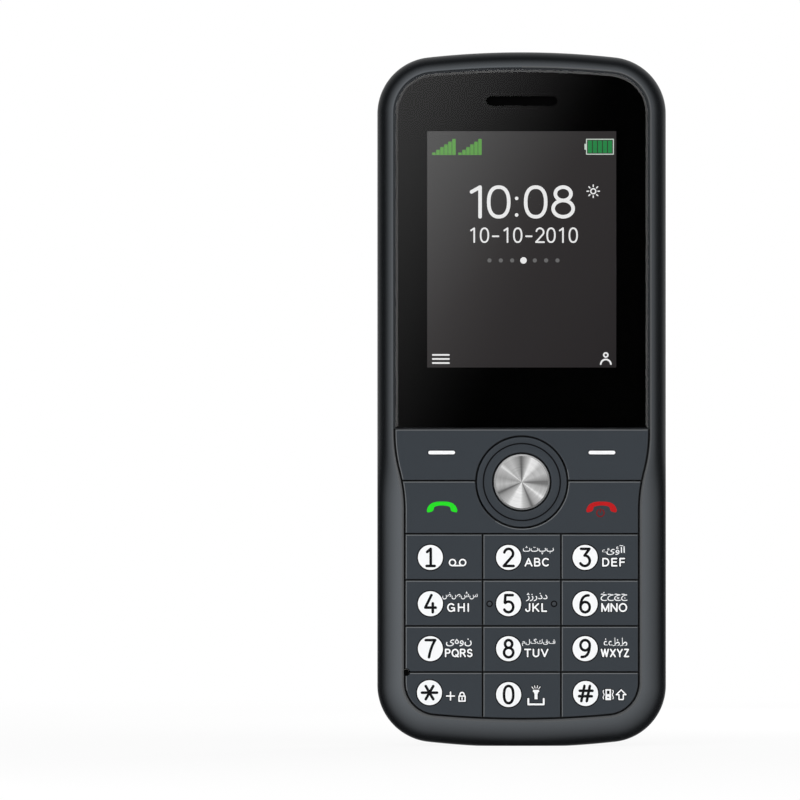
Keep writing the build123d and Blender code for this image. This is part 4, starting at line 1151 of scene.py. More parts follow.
def makeFrontFrame():
    # surface P(u, v) = outline(u) + d(v) * inward(u), depth(v) an ellipse arc from the side wall to the rim:
    # d = a (1 - sin t), depth = c + r (1 - cos t), steeper at the rim where the bevel is wide
    b = bezel
    width = bevelWidth - b["gap"]
    level = 0 * width
    reach = width - b["rimRound"]
    wide = np.clip((width - b["narrowBevel"]) / (b["wideBevel"] - b["narrowBevel"]), 0, 1)
    lean = b["narrowSlope"] + wide * (b["wideSlope"] - b["narrowSlope"])
    long = reach / (1 - lean)
    beyond = np.clip(b["round"] - reach, 0, None)
    rimCad = np.where(reach < b["round"], b["round"] - np.sqrt(b["round"] ** 2 - beyond**2), 0)
    shift = rimCad - b["round"] * (1 - np.sqrt(1 - lean**2))
    foot = b["parting"] - b["footGap"]
    rows = [(b["footReach"] + level, foot + level), (b["footInset"] + level, foot + level)]
    rows.append((level, b["parting"] - b["wallGap"] + level))
    for share in np.linspace(0, 1, b["rows"]) ** b["rowCrowding"]:
        turn = math.pi / 2 + share * (np.arcsin(lean) - math.pi / 2)
        rows.append((long * (1 - np.sin(turn)), shift + b["round"] * (1 - np.cos(turn))))
    rimRow = len(rows) - 1
    rimDepth = rows[rimRow][1]
    for turn in np.radians((30, 55, 75, 90)):
        fall = b["rimRound"] * (1 - np.cos(turn)) * b["rimFlatness"]
        rows.append((reach + b["rimRound"] * np.sin(turn), rimDepth + fall))
    rows.append((width, b["innerDepth"] + level))
    rows.append((width - b["innerReach"], b["innerDepth"] + b["innerFall"] + level))
    sheets = []
    for inset, depth in rows:
        edge = bodyEdge + inset[:, None] * bodyInward
        sheets.append(np.stack([edge[:, 0], frontPlaneY + depth, edge[:, 1]], 1))
    points = np.concatenate(sheets)
    points[:, 2] = np.maximum(points[:, 2], 0)  # the phone stands on a small flat
    faces = outward(points, gridFaces(len(rows), len(bodyEdge), closeRows=True))
    piece = addPiece("front_frame", points, faces, shellPlastic, "body", ("front_housing",),
                     sharp=50)
    # the rim's edge gets a lighter colour all round but at the upper left: a painted highlight
    row, column = np.divmod(np.arange(len(faces)), len(bodyEdge))
    upperLeft = (bodyEdge[column, 0] < 0) & (bodyEdge[column, 1] > b["waistHigh"])
    secondMaterial(piece, paintedRimHighlight, (np.abs(row - rimRow) <= 1) & ~upperLeft)


window = {
    "backGap": 0.01 * mm,
    "slotZ": 108.1 * mm,
    "slotHalfX": 7 * mm,
    "slotHalfZ": 1.5 * mm,
    "backDepth": 0.05 * mm,
    "backFacing": 0.9,
    "wallFacing": 0.3,
    # box round the earpiece slot whose chamfers shade flat
    "calmHalfX": 8 * mm,
    "calmHalfZ": 2 * mm,
}


def makeWindow():
    # clear plate, printed black on its back except over the lit picture; cut along the print's edges
    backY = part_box("display_window")[1].y - window["backGap"]

    def clipBack(points):
        return np.minimum(points, (1, backY, 1))

    piece = smoothTwin("display_window", looks["window"], adjust=clipBack, soft=True)
    mesh = piece.data
    work = bmesh.new()
    work.from_mesh(mesh)
    edges = [((side * screen["halfWidth"], 0, 0), (1, 0, 0)) for side in (-1, 1)]
    edges += [((0, 0, screen[name]), (0, 0, 1)) for name in ("lowZ", "highZ")]
    for place, direction in edges:
        bmesh.ops.bisect_plane(work, geom=work.verts[:] + work.edges[:] + work.faces[:], plane_co=place,
                               plane_no=direction, dist=1e-7)
    work.to_mesh(mesh)
    work.free()
    centre = meshValues(mesh.polygons, "center", 3)
    facing = meshValues(mesh.polygons, "normal", 3)[:, 1]
    x, y, z = np.abs(centre[:, 0]), centre[:, 1], centre[:, 2]
    lit = (x < screen["halfWidth"]) & (np.abs(z - screen["middleZ"]) < screen["halfHeight"])
    onBack = (facing > window["backFacing"]) & (y > backY - window["backDepth"])
    inSlot = (x < window["slotHalfX"]) & (np.abs(z - window["slotZ"]) < window["slotHalfZ"])
    inSlot &= np.abs(facing) < window["wallFacing"]
    secondMaterial(piece, looks["windowPrint"], (onBack & ~lit) | inSlot)
    calm = {"x": 0, "z": window["slotZ"], "halfX": window["calmHalfX"], "halfZ": window["calmHalfZ"]}
    softEdges(piece, calm=calm)


for node, material in twins.items():
    if node in keyNodes + ["softkey_bar", "call_bar"]:
        # keys and bars get the painted highlight on their upper and left chamfers
        smoothTwin(node, material, soft=True, edge=keyEdge)
    else:
        smoothTwin(node, material, sinkSkin if node == "front_housing" else None)
makeFrontFrame()
makeWindow()
turnedNodes = ["display_window", "nav_ring", "select_key", "camera_bezel", "camera_trim_ring", "camera_glass",
               "camera_inner_ring", "camera_lens"]
for node, piece in nodes.items():
    if node in twins or node in turnedNodes:
        continue
    piece.data.materials.clear()
    piece.data.materials.append(finishes[slotOf[node]])
print("nodes finished:", len(twins), "smooth twins")


# Turned pieces: the navigation ring, the select key and the camera's rings

ring = {
    "outer": 7.53 * mm,
    "inner": 4.95 * mm,
    "groove": 6.44 * mm,
    "grooveHalf": 0.13 * mm,
    "grooveDepth": 0.2 * mm,
    "grooveFloorShare": 0.3,
    # width, height and sink of the dark ring of painted shade in the groove
    "lineShare": 0.85,
    "lineDepth": 0.02 * mm,
    "lineSink": 0.1 * mm,
    "edge": 0.16 * mm,
    "postCircle": 6.45 * mm,
    "postRadius": 0.7 * mm,
    "postBack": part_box("nav_ring")[1].y,
    "capBack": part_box("nav_ring")[0].y + 1.65 * mm,
}


def roundedCorner(x, y, radius, start, end, steps=5):
    # points of a small arc about x, y, for the edges of a turned profile
    angle = np.radians(np.linspace(start, end, steps))
    return [(x + radius * math.cos(a), y + radius * math.sin(a)) for a in angle]


def tube(inner, outer, front, back):
    # profile of a plain ring or, from radius 0, of a disc
    return [(inner, front), (outer, front), (outer, back), (inner, back)]


def makeNavRing():
    front, edge = ringFrontY, ring["edge"]
    low, high = ring["groove"] - ring["grooveHalf"], ring["groove"] + ring["grooveHalf"]
    floor = front + ring["grooveDepth"]
    step = ring["grooveFloorShare"] * ring["grooveHalf"]
    profile = roundedCorner(ring["inner"] + edge, front + edge, edge, 180, 270)
    profile += [(low, front), (low + step, floor), (high - step, floor), (high, front)]
    profile += roundedCorner(ring["outer"] - edge, front + edge, edge, 270, 360)
    profile += [(ring["outer"], ring["capBack"]), (ring["inner"], ring["capBack"])]
    parts = [turned(profile, nav["x"], nav["z"], 160)]
    post = tube(0, ring["postRadius"], ring["capBack"], ring["postBack"])
    for turn in range(4):
        angle = turn * math.pi / 2
        x = nav["x"] + ring["postCircle"] * math.cos(angle)
        z = nav["z"] + ring["postCircle"] * math.sin(angle)
        parts.append(turned(post, x, z, 24))
    points, faces = joined(parts)
    addPiece("nav_ring_turned", points, faces, keyPlastic, "nav_ring", ("nav_ring",))
    # a dark ring in the groove's floor: painted shade that darkens the groove
    shade = ring["lineShare"] * ring["grooveHalf"]
    lineFront, lineBack = front + ring["lineDepth"], floor + ring["lineSink"]
    line = tube(ring["groove"] - shade, ring["groove"] + shade, lineFront, lineBack)
    points, faces = turned(line, nav["x"], nav["z"], 160)
    addPiece("nav_groove_painted_shade", points, faces, legendDark, "nav_ring")


select = {
    "radius": 4.71 * mm,
    "bevel": 0.34 * mm,
    "dish": 0.15 * mm,
    "shoulder": 0.02 * mm,
    "shoulderDepth": 0.26 * mm,
    "sideDepth": 0.4 * mm,
    "thickness": 1.3 * mm,
    "post": 1.2 * mm,
}


def makeSelectKey():
    # a shallow dish with a bright bevelled rim, on a round post
    front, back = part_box("select_key")[0].y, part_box("select_key")[1].y
    radius = select["radius"]
    under = front + select["thickness"]
    face = radius - select["bevel"]
    body = [(face * share, front + select["dish"] * (1 - share)) for share in np.linspace(0, 1, 24)]
    body += [(radius - select["shoulder"], front + select["shoulderDepth"]),
             (radius, front + select["sideDepth"]), (radius, under), (select["post"], under),
             (select["post"], back), (0, back)]
    points, faces = turned(body, nav["x"], nav["z"], 192)
    piece = addPiece("select_key_spun", points, faces, looks["spunSelectPaintedGlints"], "select_key",
                     ("select_key",), sharp=25)
    centre = meshValues(piece.data.polygons, "center", 3)
    away = np.hypot(centre[:, 0] - nav["x"], centre[:, 2] - nav["z"])
    secondMaterial(piece, looks["brightRim"], away > face)


makeNavRing()
makeSelectKey()
print("navigation keys turned")


# radii of the camera's rings, and the small depths of their edges
bezelRing = {
    "foot": 10.0 * mm, "shoulder": 9.93 * mm, "crestOuter": 8.55 * mm, "crest": 8.35 * mm,
    "crestInner": 8.05 * mm, "throat": 7.9 * mm, "ledge": 6.6 * mm, "sleeve": 8.9 * mm,
    "footHeight": 0.08 * mm, "shoulderHeight": 0.16 * mm, "crestFall": 0.06 * mm, "softness": 0.1 * mm,
}
trimRing = {"outer": 7.85 * mm, "crestOuter": 7.78 * mm, "crestInner": 7.40 * mm, "inner": 7.27 * mm}
glassDisc = {
    "outer": 7.23 * mm, "face": 7.18 * mm, "chamfer": 0.05 * mm, "seatOuter": 4.28 * mm,
    "seatInner": 3.2 * mm, "holeEdge": 1.68 * mm, "hole": 1.62 * mm, "holeChamfer": 0.06 * mm,
}
innerRing = {
    "outer": 4.24 * mm, "crestOuter": 4.16 * mm, "outerFall": 0.07 * mm,
    "inner": 3.24 * mm, "crestInner": 3.34 * mm, "innerFall": 0.09 * mm,
}
domeRise = 0.25 * mm


def coverPiece(name, profile, material, node, steps=192, sharp=25):
    # a ring or disc turned about the camera's axis, which rides on the cover and stands for a CAD node
    points, faces = turned(profile, camera["x"], camera["z"], steps)
    addPiece(name, points, faces, material, "back_cover", (node,), sharp=sharp)


def makeCameraRings():
    inside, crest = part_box("camera_bezel")[0].y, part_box("camera_bezel")[1].y
    glassLow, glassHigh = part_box("camera_glass")[0].y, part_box("camera_glass")[1].y
    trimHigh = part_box("camera_trim_ring")[1].y
    seat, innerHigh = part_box("camera_inner_ring")[0].y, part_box("camera_inner_ring")[1].y
    own = bezelRing
    soft = own["softness"]
    profile = [(own["foot"], coverBackY), (own["foot"], coverBackY + own["footHeight"]),
               (own["shoulder"], coverBackY + own["shoulderHeight"]),
               (own["crestOuter"], crest - own["crestFall"]), (own["crest"], crest),
               (own["crestInner"], crest), (own["throat"], crest - soft), (own["throat"], glassLow),
               (own["ledge"], glassLow),
               (own["ledge"], inside), (own["sleeve"], inside), (own["sleeve"], coverBackY)]
    coverPiece("camera_bezel_turned", profile, looks["spunBezelPaintedGlints"], "camera_bezel")
    own = trimRing
    profile = [(own["outer"], glassLow), (own["outer"], trimHigh - soft), (own["crestOuter"], trimHigh),
               (own["crestInner"], trimHigh), (own["inner"], trimHigh - soft), (own["inner"], glassLow)]
    coverPiece("camera_trim_turned", profile, looks["spunTrimPaintedGlints"], "camera_trim_ring")
    own = glassDisc
    profile = [(own["outer"], glassLow), (own["outer"], glassHigh - own["chamfer"]), (own["face"], glassHigh),
               (own["seatOuter"], glassHigh), (own["seatOuter"], seat), (own["seatInner"], seat),
               (own["seatInner"], glassHigh), (own["holeEdge"], glassHigh),
               (own["hole"], glassHigh - own["holeChamfer"]), (own["hole"], glassLow)]
    coverPiece("camera_glass_disc", profile, looks["glass"], "camera_glass")
    own = innerRing
    profile = [(own["outer"], seat), (own["outer"], innerHigh - own["outerFall"]),
               (own["crestOuter"], innerHigh), (own["crestInner"], innerHigh),
               (own["inner"], innerHigh - own["innerFall"]), (own["inner"], seat)]
    coverPiece("camera_inner_turned", profile, looks["spunTrimPaintedGlints"], "camera_inner_ring", 160)
    rim, lensEdge = camera["lensRadius"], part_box("camera_lens")[1].y - domeRise
    turns = np.linspace(0, math.pi / 2, 14)
    profile = [(rim * math.sin(turn), lensEdge + domeRise * math.cos(turn)) for turn in turns]
    profile += [(rim, glassLow), (0, glassLow)]
    coverPiece("camera_lens_dome", profile, looks["lens"], "camera_lens", 96, 40)


makeCameraRings()
print("camera rings turned")


# Printed legends on the keys

legend = {
    "discRadius": 2.09 * mm,
    "border": 0.2 * mm,
    "letterBorder": 0.26 * mm,
    "figureHeight": 3.3 * mm,
    "figureStroke": 0.44 * mm,
    "letterStroke": 0.26 * mm,
    "letterGap": 0.14 * mm,
    "letterStretch": 1.05,
    "scriptWeight": 0.008,
    "scriptLevels": 5,
    "printThickness": 0.02 * mm,
    "borderShare": 0.4,
    "step": 0.0015 * mm,
    "sink": 0.01 * mm,
    "columnX": (-15.31 * mm, -2.21 * mm, 10.60 * mm),
    "rowZ": (31.64 * mm, 23.89 * mm, 16.36 * mm, 8.67 * mm),
    # the two discs that aren't quite in their row: (x, z) of the move
    "moves": {"key_star": (-0.15 * mm, 0.32 * mm), "key_hash": (0.08 * mm, 0.18 * mm)},
}
frontY = keyFrontY - legend["printThickness"]
backY = keyFrontY + legend["sink"]

# The print, and just below it the same signs a little bolder in black, which leaves a thin dark edge
layers = (
    {"suffix": "", "front": frontY, "grow": 0.0, "discGrow": 0.0, "step": legend["step"], "ink": None},
    {"suffix": "_border", "front": keyFrontY - legend["borderShare"] * legend["printThickness"],
     "grow": legend["letterBorder"], "discGrow": legend["border"], "step": 0.0, "ink": legendDark},
)

# (letters, low x, high x, low z, high z) of each key's letters, in millimetres
letterGroups = {
    "key_2": ("ABC", 0.45, 4.61, 30.11, 31.58),
    "key_3": ("DEF", 13.46, 17.32, 30.11, 31.58),
    "key_4": ("GHI", -12.52, -8.84, 22.50, 24.00),
    "key_5": ("JKL", 0.55, 4.24, 22.50, 24.00),
    "key_6": ("MNO", 13.29, 17.65, 22.50, 24.00),
    "key_7": ("PQRS", -12.89, -8.25, 14.92, 16.36),
    "key_8": ("TUV", 0.39, 4.46, 14.92, 16.36),
    "key_9": ("WXYZ", 13.21, 17.99, 14.92, 16.36),
}
# The second alphabet of such keypads, left to right as it is seen
scriptGroups = {
    "key_2": ("\ufe99\ufe95\ufb56\ufe8f", 0.18, 5.35, 32.15, 33.55),
    "key_3": ("\u0621\u0626\u0624\u0622\u0627", 13.35, 17.25, 32.05, 33.70),
    "key_4": ("\ufebd\ufeb9\ufeb5\ufeb1", -13.30, -7.40, 24.62, 25.90),
    "key_5": ("\u0698\u0632\u0631\u0630\u062f", 0.69, 4.30, 24.30, 25.70),
    "key_6": ("\ufea5\ufea1\ufb7a\ufe9d", 13.20, 17.70, 24.35, 25.85),
    "key_7": ("\u06cc\u0647\u0648\u0646", -12.70, -8.40, 16.75, 18.05),
    "key_8": ("\ufee1\ufedd\ufb92\ufed9\ufed5\ufed1", 0.02, 5.62, 16.80, 18.05),
    "key_9": ("\ufecf\ufecb\u0638\u0637", 13.60, 17.65, 16.70, 18.20),
}


def keyPiece(name, form, material, node):
    # a print or a moulded sign that rides on a key; the form is its points and faces
    points, faces = form
    addPiece(name, points, faces, material, node)


def makeDiscs():
    # a white disc in a dark border on each key, with the key's figure on it
    for index, node in enumerate(keyNodes):
        row, column = divmod(index, 3)
        moveX, moveZ = legend["moves"].get(node, (0, 0))
        x, z = legend["columnX"][column] + moveX, legend["rowZ"][row] + moveZ
        for layer in layers:
            profile = tube(0, legend["discRadius"] + layer["discGrow"], layer["front"], backY)
            disc = turned(profile, x, z, 72)
            keyPiece(node + "_disc" + layer["suffix"], disc, layer["ink"] or legendWhite, node)
        figure = {"key_star": "*", "key_hash": "#"}.get(node, node[-1])
        height = legend["figureHeight"]
        parts = figureParts(
            figure, x, z - height / 2, height, legend["figureStroke"], frontY - legend["printThickness"],
            frontY + legend["sink"],
        )
        keyPiece(node + "_figure", joined(parts, legend["step"]), legendDark, node)


def makeLetters():
    # the Latin letters with their dark border, the others without
    for node, (letters, *box) in letterGroups.items():
        box = [value * mm for value in box]
        for layer in layers:
            parts = wordParts(letters, *box, legend["letterStroke"], layer["front"], backY, layer["grow"])
            word = joined(parts, layer["step"])
            keyPiece(node + "_letters" + layer["suffix"], word, layer["ink"] or legendWhite, node)
    for node, (letters, *box) in scriptGroups.items():
        keyPiece(node + "_script", scriptParts(letters, *(np.array(box) * mm)), legendWhite, node)


makeDiscs()
makeLetters()
print("figures and letters printed")


def strokes(layer, paths, stroke, scale, x, z, lift=0.0):
    # a sign's strokes: each path is in its own unit box and is scaled and moved to its place
    parts = []
    for path, closed in paths:
        placed = np.asarray(path) * scale + (x, z)
        parts.append(ribbon(placed, stroke + layer["grow"], layer["front"] - lift, backY, closed))
    return parts


def openPaths(*paths):
    return [(path, False) for path in paths]


signs = {
    "dash": {"x": 13.42 * mm, "z": 49.2 * mm, "width": 4.48 * mm, "stroke": 0.6 * mm},
    "handset": {"x": 13.35 * mm, "lowZ": 39.55 * mm, "width": 5.0 * mm, "squash": 0.58},
    "power": {"x": 13.16 * mm, "z": 39.10 * mm, "radius": 0.62 * mm, "stroke": 0.2 * mm, "lift": 0.01 * mm},
    "tape": {
        "x": -10.76 * mm, "z": 30.78 * mm, "radius": 0.51 * mm, "spread": 0.85 * mm, "stroke": 0.25 * mm,
    },
    "plus": {"x": -11.94 * mm, "z": 8.43 * mm, "half": 0.66 * mm, "stroke": 0.24 * mm},
    "lock": {
        "x": -10.01 * mm, "z": 8.38 * mm, "width": 1.26 * mm, "height": 1.84 * mm, "bodyShare": 0.58,
        "stroke": 0.24 * mm, "shackleHalf": 0.36 * mm, "shackleFoot": 0.62 * mm, "shackleRise": 0.42 * mm,
        "keyholeLow": -0.1 * mm, "keyholeHigh": 0.12 * mm,
    },
    "torch": {
        "x": 2.38 * mm, "lowZ": 7.88 * mm, "handle": 1.1 * mm, "handleWidth": 0.52 * mm, "collar": 0.3 * mm,
        "collarWidth": 0.7 * mm, "headZ": 1.38 * mm, "headHalf": 0.34 * mm, "headStroke": 0.42 * mm,
        "rayAngles": (-35, -12, 12, 35), "rayFrom": 0.78 * mm, "rayLength": 0.42 * mm, "rayStroke": 0.13 * mm,
    },
    "space": {"x": 2.44 * mm, "lowZ": 6.87 * mm, "highZ": 7.95 * mm, "width": 2.9 * mm, "stroke": 0.32 * mm},
    "shaking": {
        "x": 14.47 * mm, "z": 8.66 * mm, "width": 0.95 * mm, "height": 1.85 * mm, "away": 0.3 * mm,
        "stroke": 0.15 * mm, "waveDepth": 0.08 * mm, "waveHalf": 0.72 * mm, "marksLift": 0.05 * mm,
        # (z, width, height) of the dark marks on it: its display and its key
        "marks": ((0.38 * mm, 0.42 * mm, 0.55 * mm), (-0.45 * mm, 0.3 * mm, 0.16 * mm)),
    },
    "shift": {
        "x": 16.63 * mm, "lowZ": 7.75 * mm, "highZ": 9.56 * mm, "width": 1.8 * mm, "stroke": 0.22 * mm,
        "inset": 0.1 * mm, "stemShare": 0.45,
    },
    "pip": {
        # the ring is the width of the dark ring of painted shade round each pip
        "x": 5.4 * mm, "z": 23.86 * mm, "radius": 0.36 * mm, "height": 0.13 * mm, "ring": 0.2 * mm,
        "sink": 0.03 * mm, "overlap": 0.04 * mm,
    },
}


def softOutline(corners, rounds=3):
    # a closed outline with its corners cut again and again until they are round
    outline = np.array(corners, float)
    near, far = 0.78, 0.22
    for _ in range(rounds):
        ahead = np.roll(outline, -1, 0)
        outline = np.stack([near * outline + far * ahead, far * outline + near * ahead], 1).reshape(-1, 2)
    return outline


def plateOf(outline):
    # a flat plate of any outline, from the print's front to its back
    count = len(outline)
    points = np.array([(x, y, z) for y in (frontY, backY) for x, z in outline])
    ahead = np.roll(outline, -1, 0)
    order = list(range(count))
    if np.sum(crossed(outline, ahead)) <= 0:
        order = order[::-1]
    pairs = zip(order, order[1:] + order[:1])
    sides = [[first, first + count, second + count, second] for first, second in pairs]
    return points, [order, [corner + count for corner in order[::-1]]] + sides


def makeHandset(name, side, material):
    # a handset laid on its back: a bowed grip between two cups that hang down at its ends
    sign = signs["handset"]
    right = [(0.0, 0.50), (0.20, 0.485), (0.36, 0.40), (0.46, 0.24), (0.51, 0.04), (0.505, -0.11),
             (0.46, -0.13), (0.33, -0.08), (0.285, 0.02), (0.27, 0.19), (0.14, 0.26), (0.0, 0.275)]
    corners = right + [(-x, z) for x, z in right[-2:0:-1]]
    outline = softOutline(corners) * sign["width"] * (1, sign["squash"]) + (side * sign["x"], sign["lowZ"])
    keyPiece(name, plateOf(outline), material, "call_bar")


def makeWhiteSigns(layer):
    def put(name, parts, node):
        keyPiece(name + layer["suffix"], joined(parts, layer["step"]), layer["ink"] or legendWhite, node)

    def plate(x, z, width, height):
        return blockAt(x, z, width + layer["grow"], height + layer["grow"], layer["front"], backY)

    def line(path, width):
        return ribbon(path, width + layer["grow"], layer["front"], backY)

    dash = signs["dash"]
    reach = dash["width"] / 2 - dash["stroke"] / 2
    for side, label in ((-1, "left"), (1, "right")):
        run = straight((side * dash["x"] - reach, dash["z"]), (side * dash["x"] + reach, dash["z"]))
        put("softkey_dash_" + label, [line(run[0], dash["stroke"])], "softkey_bar")

    # two reels on one tape
    tape = signs["tape"]
    spread = tape["spread"] / tape["radius"]
    paths = [(loop(side * spread, 0, 1, 1), True) for side in (-1, 1)]
    paths += openPaths(*straight((-spread, -1), (spread, -1)))
    put("message_sign", strokes(layer, paths, tape["stroke"], tape["radius"], tape["x"], tape["z"]), "key_1")

    plus = signs["plus"]
    cross = openPaths(*straight((-1, 0), (1, 0)), *straight((0, -1), (0, 1)))
    put("plus_sign", strokes(layer, cross, plus["stroke"], plus["half"], plus["x"], plus["z"]), "key_star")

    # padlock: a frame, a shackle and a keyhole
    lock = signs["lock"]
    thin = lock["stroke"]
    bodyHeight = lock["bodyShare"] * lock["height"]
    bodyMiddle = lock["z"] - lock["height"] / 2 + bodyHeight / 2
    halfW, halfH = lock["width"] / 2 - thin / 2, bodyHeight / 2 - thin / 2
    body = straight((-halfW, -halfH), (halfW, -halfH), (halfW, halfH), (-halfW, halfH), (-halfW, -halfH))
    half, foot = lock["shackleHalf"], lock["shackleFoot"]
    shackle = np.concatenate([straight((-half, halfH), (-half, foot))[0],
                              arc(0, foot, half, lock["shackleRise"], 180, 0, 16),
                              straight((half, foot), (half, halfH))[0]])
    keyhole = straight((0, lock["keyholeLow"]), (0, lock["keyholeHigh"]))
    paths = openPaths(*body, shackle, *keyhole)
    put("lock_sign", strokes(layer, paths, thin, 1, lock["x"], bodyMiddle), "key_star")

    # torch with four rays, over the sign of a space
    torch = signs["torch"]
    x, low = torch["x"], torch["lowZ"]
    neck, head = low + torch["handle"], low + torch["headZ"]
    parts = [plate(x, low + torch["handle"] / 2, torch["handleWidth"], torch["handle"]),
             plate(x, neck, torch["collarWidth"], torch["collar"])]
    run = straight((x - torch["headHalf"], head), (x + torch["headHalf"], head))[0]
    parts.append(line(run, torch["headStroke"]))
    for angle in np.radians(torch["rayAngles"]):
        away = np.array([math.sin(angle), math.cos(angle)])
        start = np.array([x, neck]) + away * torch["rayFrom"]
        parts.append(line(straight(start, start + away * torch["rayLength"])[0], torch["rayStroke"]))
    space = signs["space"]
    half = space["width"] / 2 - space["stroke"] / 2
    top, bottom = space["highZ"], space["lowZ"] + space["stroke"] / 2
    tray = straight((x - half, top), (x - half, bottom), (x + half, bottom), (x + half, top))
    parts += [line(run, space["stroke"]) for run in tray]
    put("torch_sign", parts, "key_0")

    # shaking phone and shift arrow
    shaking = signs["shaking"]
    x, z = shaking["x"], shaking["z"]
    parts = [plate(x, z, shaking["width"], shaking["height"])]
    bends = shaking["waveDepth"] * np.sin(np.linspace(0, 3 * math.pi, 25))
    heights = np.linspace(-1, 1, 25) * shaking["waveHalf"]
    for side in (-1, 1):
        away = x + side * (shaking["width"] / 2 + shaking["away"])
        parts.append(line(np.stack([away + side * bends, z + heights], 1), shaking["stroke"]))
    shift = signs["shift"]
    inset = shift["inset"]
    x, w, low, high = shift["x"], shift["width"] / 2 - inset, shift["lowZ"] + inset, shift["highZ"] - inset
    middle, stem = (low + high) / 2, shift["stemShare"] * w
    runs = straight((x, high), (x + w, middle), (x + stem, middle), (x + stem, low), (x - stem, low),
                    (x - stem, middle), (x - w, middle), (x, high))
    parts += [line(run, shift["stroke"]) for run in runs]
    put("mode_signs", parts, "key_hash")


def makeDarkSigns():
    power = signs["power"]
    paths = openPaths(arc(0, 0, 1, 1, 120, 420, 40), straight((0, 1.1), (0, 0.2))[0])
    parts = strokes(layers[0], paths, power["stroke"], power["radius"], power["x"], power["z"], power["lift"])
    keyPiece("power_sign", joined(parts, legend["step"]), legendDarkRed, "call_bar")
    shaking = signs["shaking"]
    front = frontY - shaking["marksLift"]
    marks = [blockAt(shaking["x"], shaking["z"] + z, width, height, front, backY)
             for z, width, height in shaking["marks"]]
    keyPiece("mode_sign_marks", joined(marks), legendDark, "key_hash")


def makePips():
    # finder pips beside the middle key's figure, each in a dark ring that is painted shade round its dome
    pip = signs["pip"]
    base, radius = keyFrontY + pip["sink"], pip["radius"]
    turns = np.linspace(0, math.pi / 2, 10)
    dome = [(radius * math.sin(turn), base - pip["height"] * math.cos(turn)) for turn in turns]
    foot = tube(radius - pip["overlap"], radius + pip["ring"], layers[1]["front"], backY)
    domes = [turned(dome + [(0, base)], side * pip["x"], pip["z"], 32) for side in (-1, 1)]
    rings = [turned(foot, side * pip["x"], pip["z"], 40) for side in (-1, 1)]
    keyPiece("finder_pips", joined(domes), keyPlastic, "key_5")
    keyPiece("pip_painted_shade_rings", joined(rings), legendDark, "key_5")


makeHandset("call_sign", -1, legendGreen)
makeHandset("end_sign", 1, legendRed)
for layer in layers:
    makeWhiteSigns(layer)
makeDarkSigns()
makePips()
print("signs printed")


micPort = {
    "x": -19.35 * mm,
    "z": 12.42 * mm,
    "radius": 0.46 * mm,
    "front": -0.03 * mm,
    "back": 0.5 * mm,
    "chamfer": 0.05 * mm,
}


def makeMicCloth():
    # dust cloth that closes the small microphone hole
    front, back = frontPlaneY + micPort["front"], frontPlaneY + micPort["back"]
    radius, chamfer = micPort["radius"], micPort["chamfer"]
    profile = [(0, front), (radius - chamfer, front), (radius, front + chamfer), (radius, back), (0, back)]
    points, faces = turned(profile, micPort["x"], micPort["z"], 40)
    addPiece("microphone_cloth", points, faces, looks["cloth"], "body")


makeMicCloth()


# The lit picture

clock = {
    "figures": "i0:08",
    "lowZ": 88.42 * mm,
    "height": 5.57 * mm,
    "stroke": 0.60 * mm,
    "stretch": 1.25,
    "centres": (-7.35 * mm, -3.85 * mm, -0.85 * mm, 2.35 * mm, 6.95 * mm),
}
date = {
    "figures": "i0-i0-20i0",
    "lowZ": 84.33 * mm,
    "height": 2.6 * mm,
    "stroke": 0.28 * mm,
    "stretch": 1.02,
    "lowX": -8.1 * mm,
    "pitch": 1.86 * mm,
}
sun = {
    "x": 12.0 * mm,
    "z": 93.0 * mm,
    "radius": 0.42 * mm,
    "stroke": 0.22 * mm,
    "rays": 8,
    "rayFrom": 0.78 * mm,
    "rayTo": 1.05 * mm,
    "rayStroke": 0.2 * mm,
}
days = {"x": 0.3 * mm, "z": 81.4 * mm, "pitch": 1.9 * mm, "today": 1.1 * mm, "other": 0.7 * mm}
listSign = {
    "lowX": -14.9 * mm,
    "highX": -12.2 * mm,
    "lowZ": 64.2 * mm,
    "pitch": 0.68 * mm,
    "stroke": 0.28 * mm,
}
person = {
    "x": 14.1 * mm,
    "headZ": 65.55 * mm,
    "head": 0.34 * mm,
    "headStroke": 0.26 * mm,
    "shoulderZ": 63.95 * mm,
    "shoulders": 0.85 * mm,
    "stroke": 0.28 * mm,
}
signal = {
    "leftX": (-15.04 * mm, -10.68 * mm),
    "lowZ": 99.08 * mm,
    "bars": 6,
    "pitch": 0.67 * mm,
    "gap": 0.09 * mm,
    "low": 0.4 * mm,
    "high": 2.68 * mm,
}
charge = {
    "x": 13.12 * mm,
    "z": 100.46 * mm,
    "width": 4.5 * mm,
    "height": 2.5 * mm,
    "stroke": 0.17 * mm,
    "tipAway": 0.2 * mm,
    "tipWidth": 0.28 * mm,
    "tipHeight": 1.0 * mm,
    "cells": 5,
    "margin": 0.15 * mm,
    "cellGap": 0.14 * mm,
    "cellFall": 0.42 * mm,
}
lightStep = 0.03 * mm  # depth of the picture, and again of the figures in front of it
pictureY = panelFrontY - lightStep
figureY = pictureY - lightStep


def litPiece(name, parts, glow, step=legend["step"]):
    points, faces = joined(parts, step)
    addPiece(name, points, faces, looks[glow], "body")


def litLine(path, stroke, closed=False):
    return ribbon(path, stroke, figureY, pictureY, closed)


def litDot(x, z, width):
    # a round dot, as a stroke with next to no length
    return litLine(straight((x, z), (x + 1e-6, z))[0], width)


def litFigure(figure, x, look):
    # a figure of the clock or the date
    return figureParts(
        figure, x, look["lowZ"], look["height"], look["stroke"], figureY, pictureY, look["stretch"]
    )


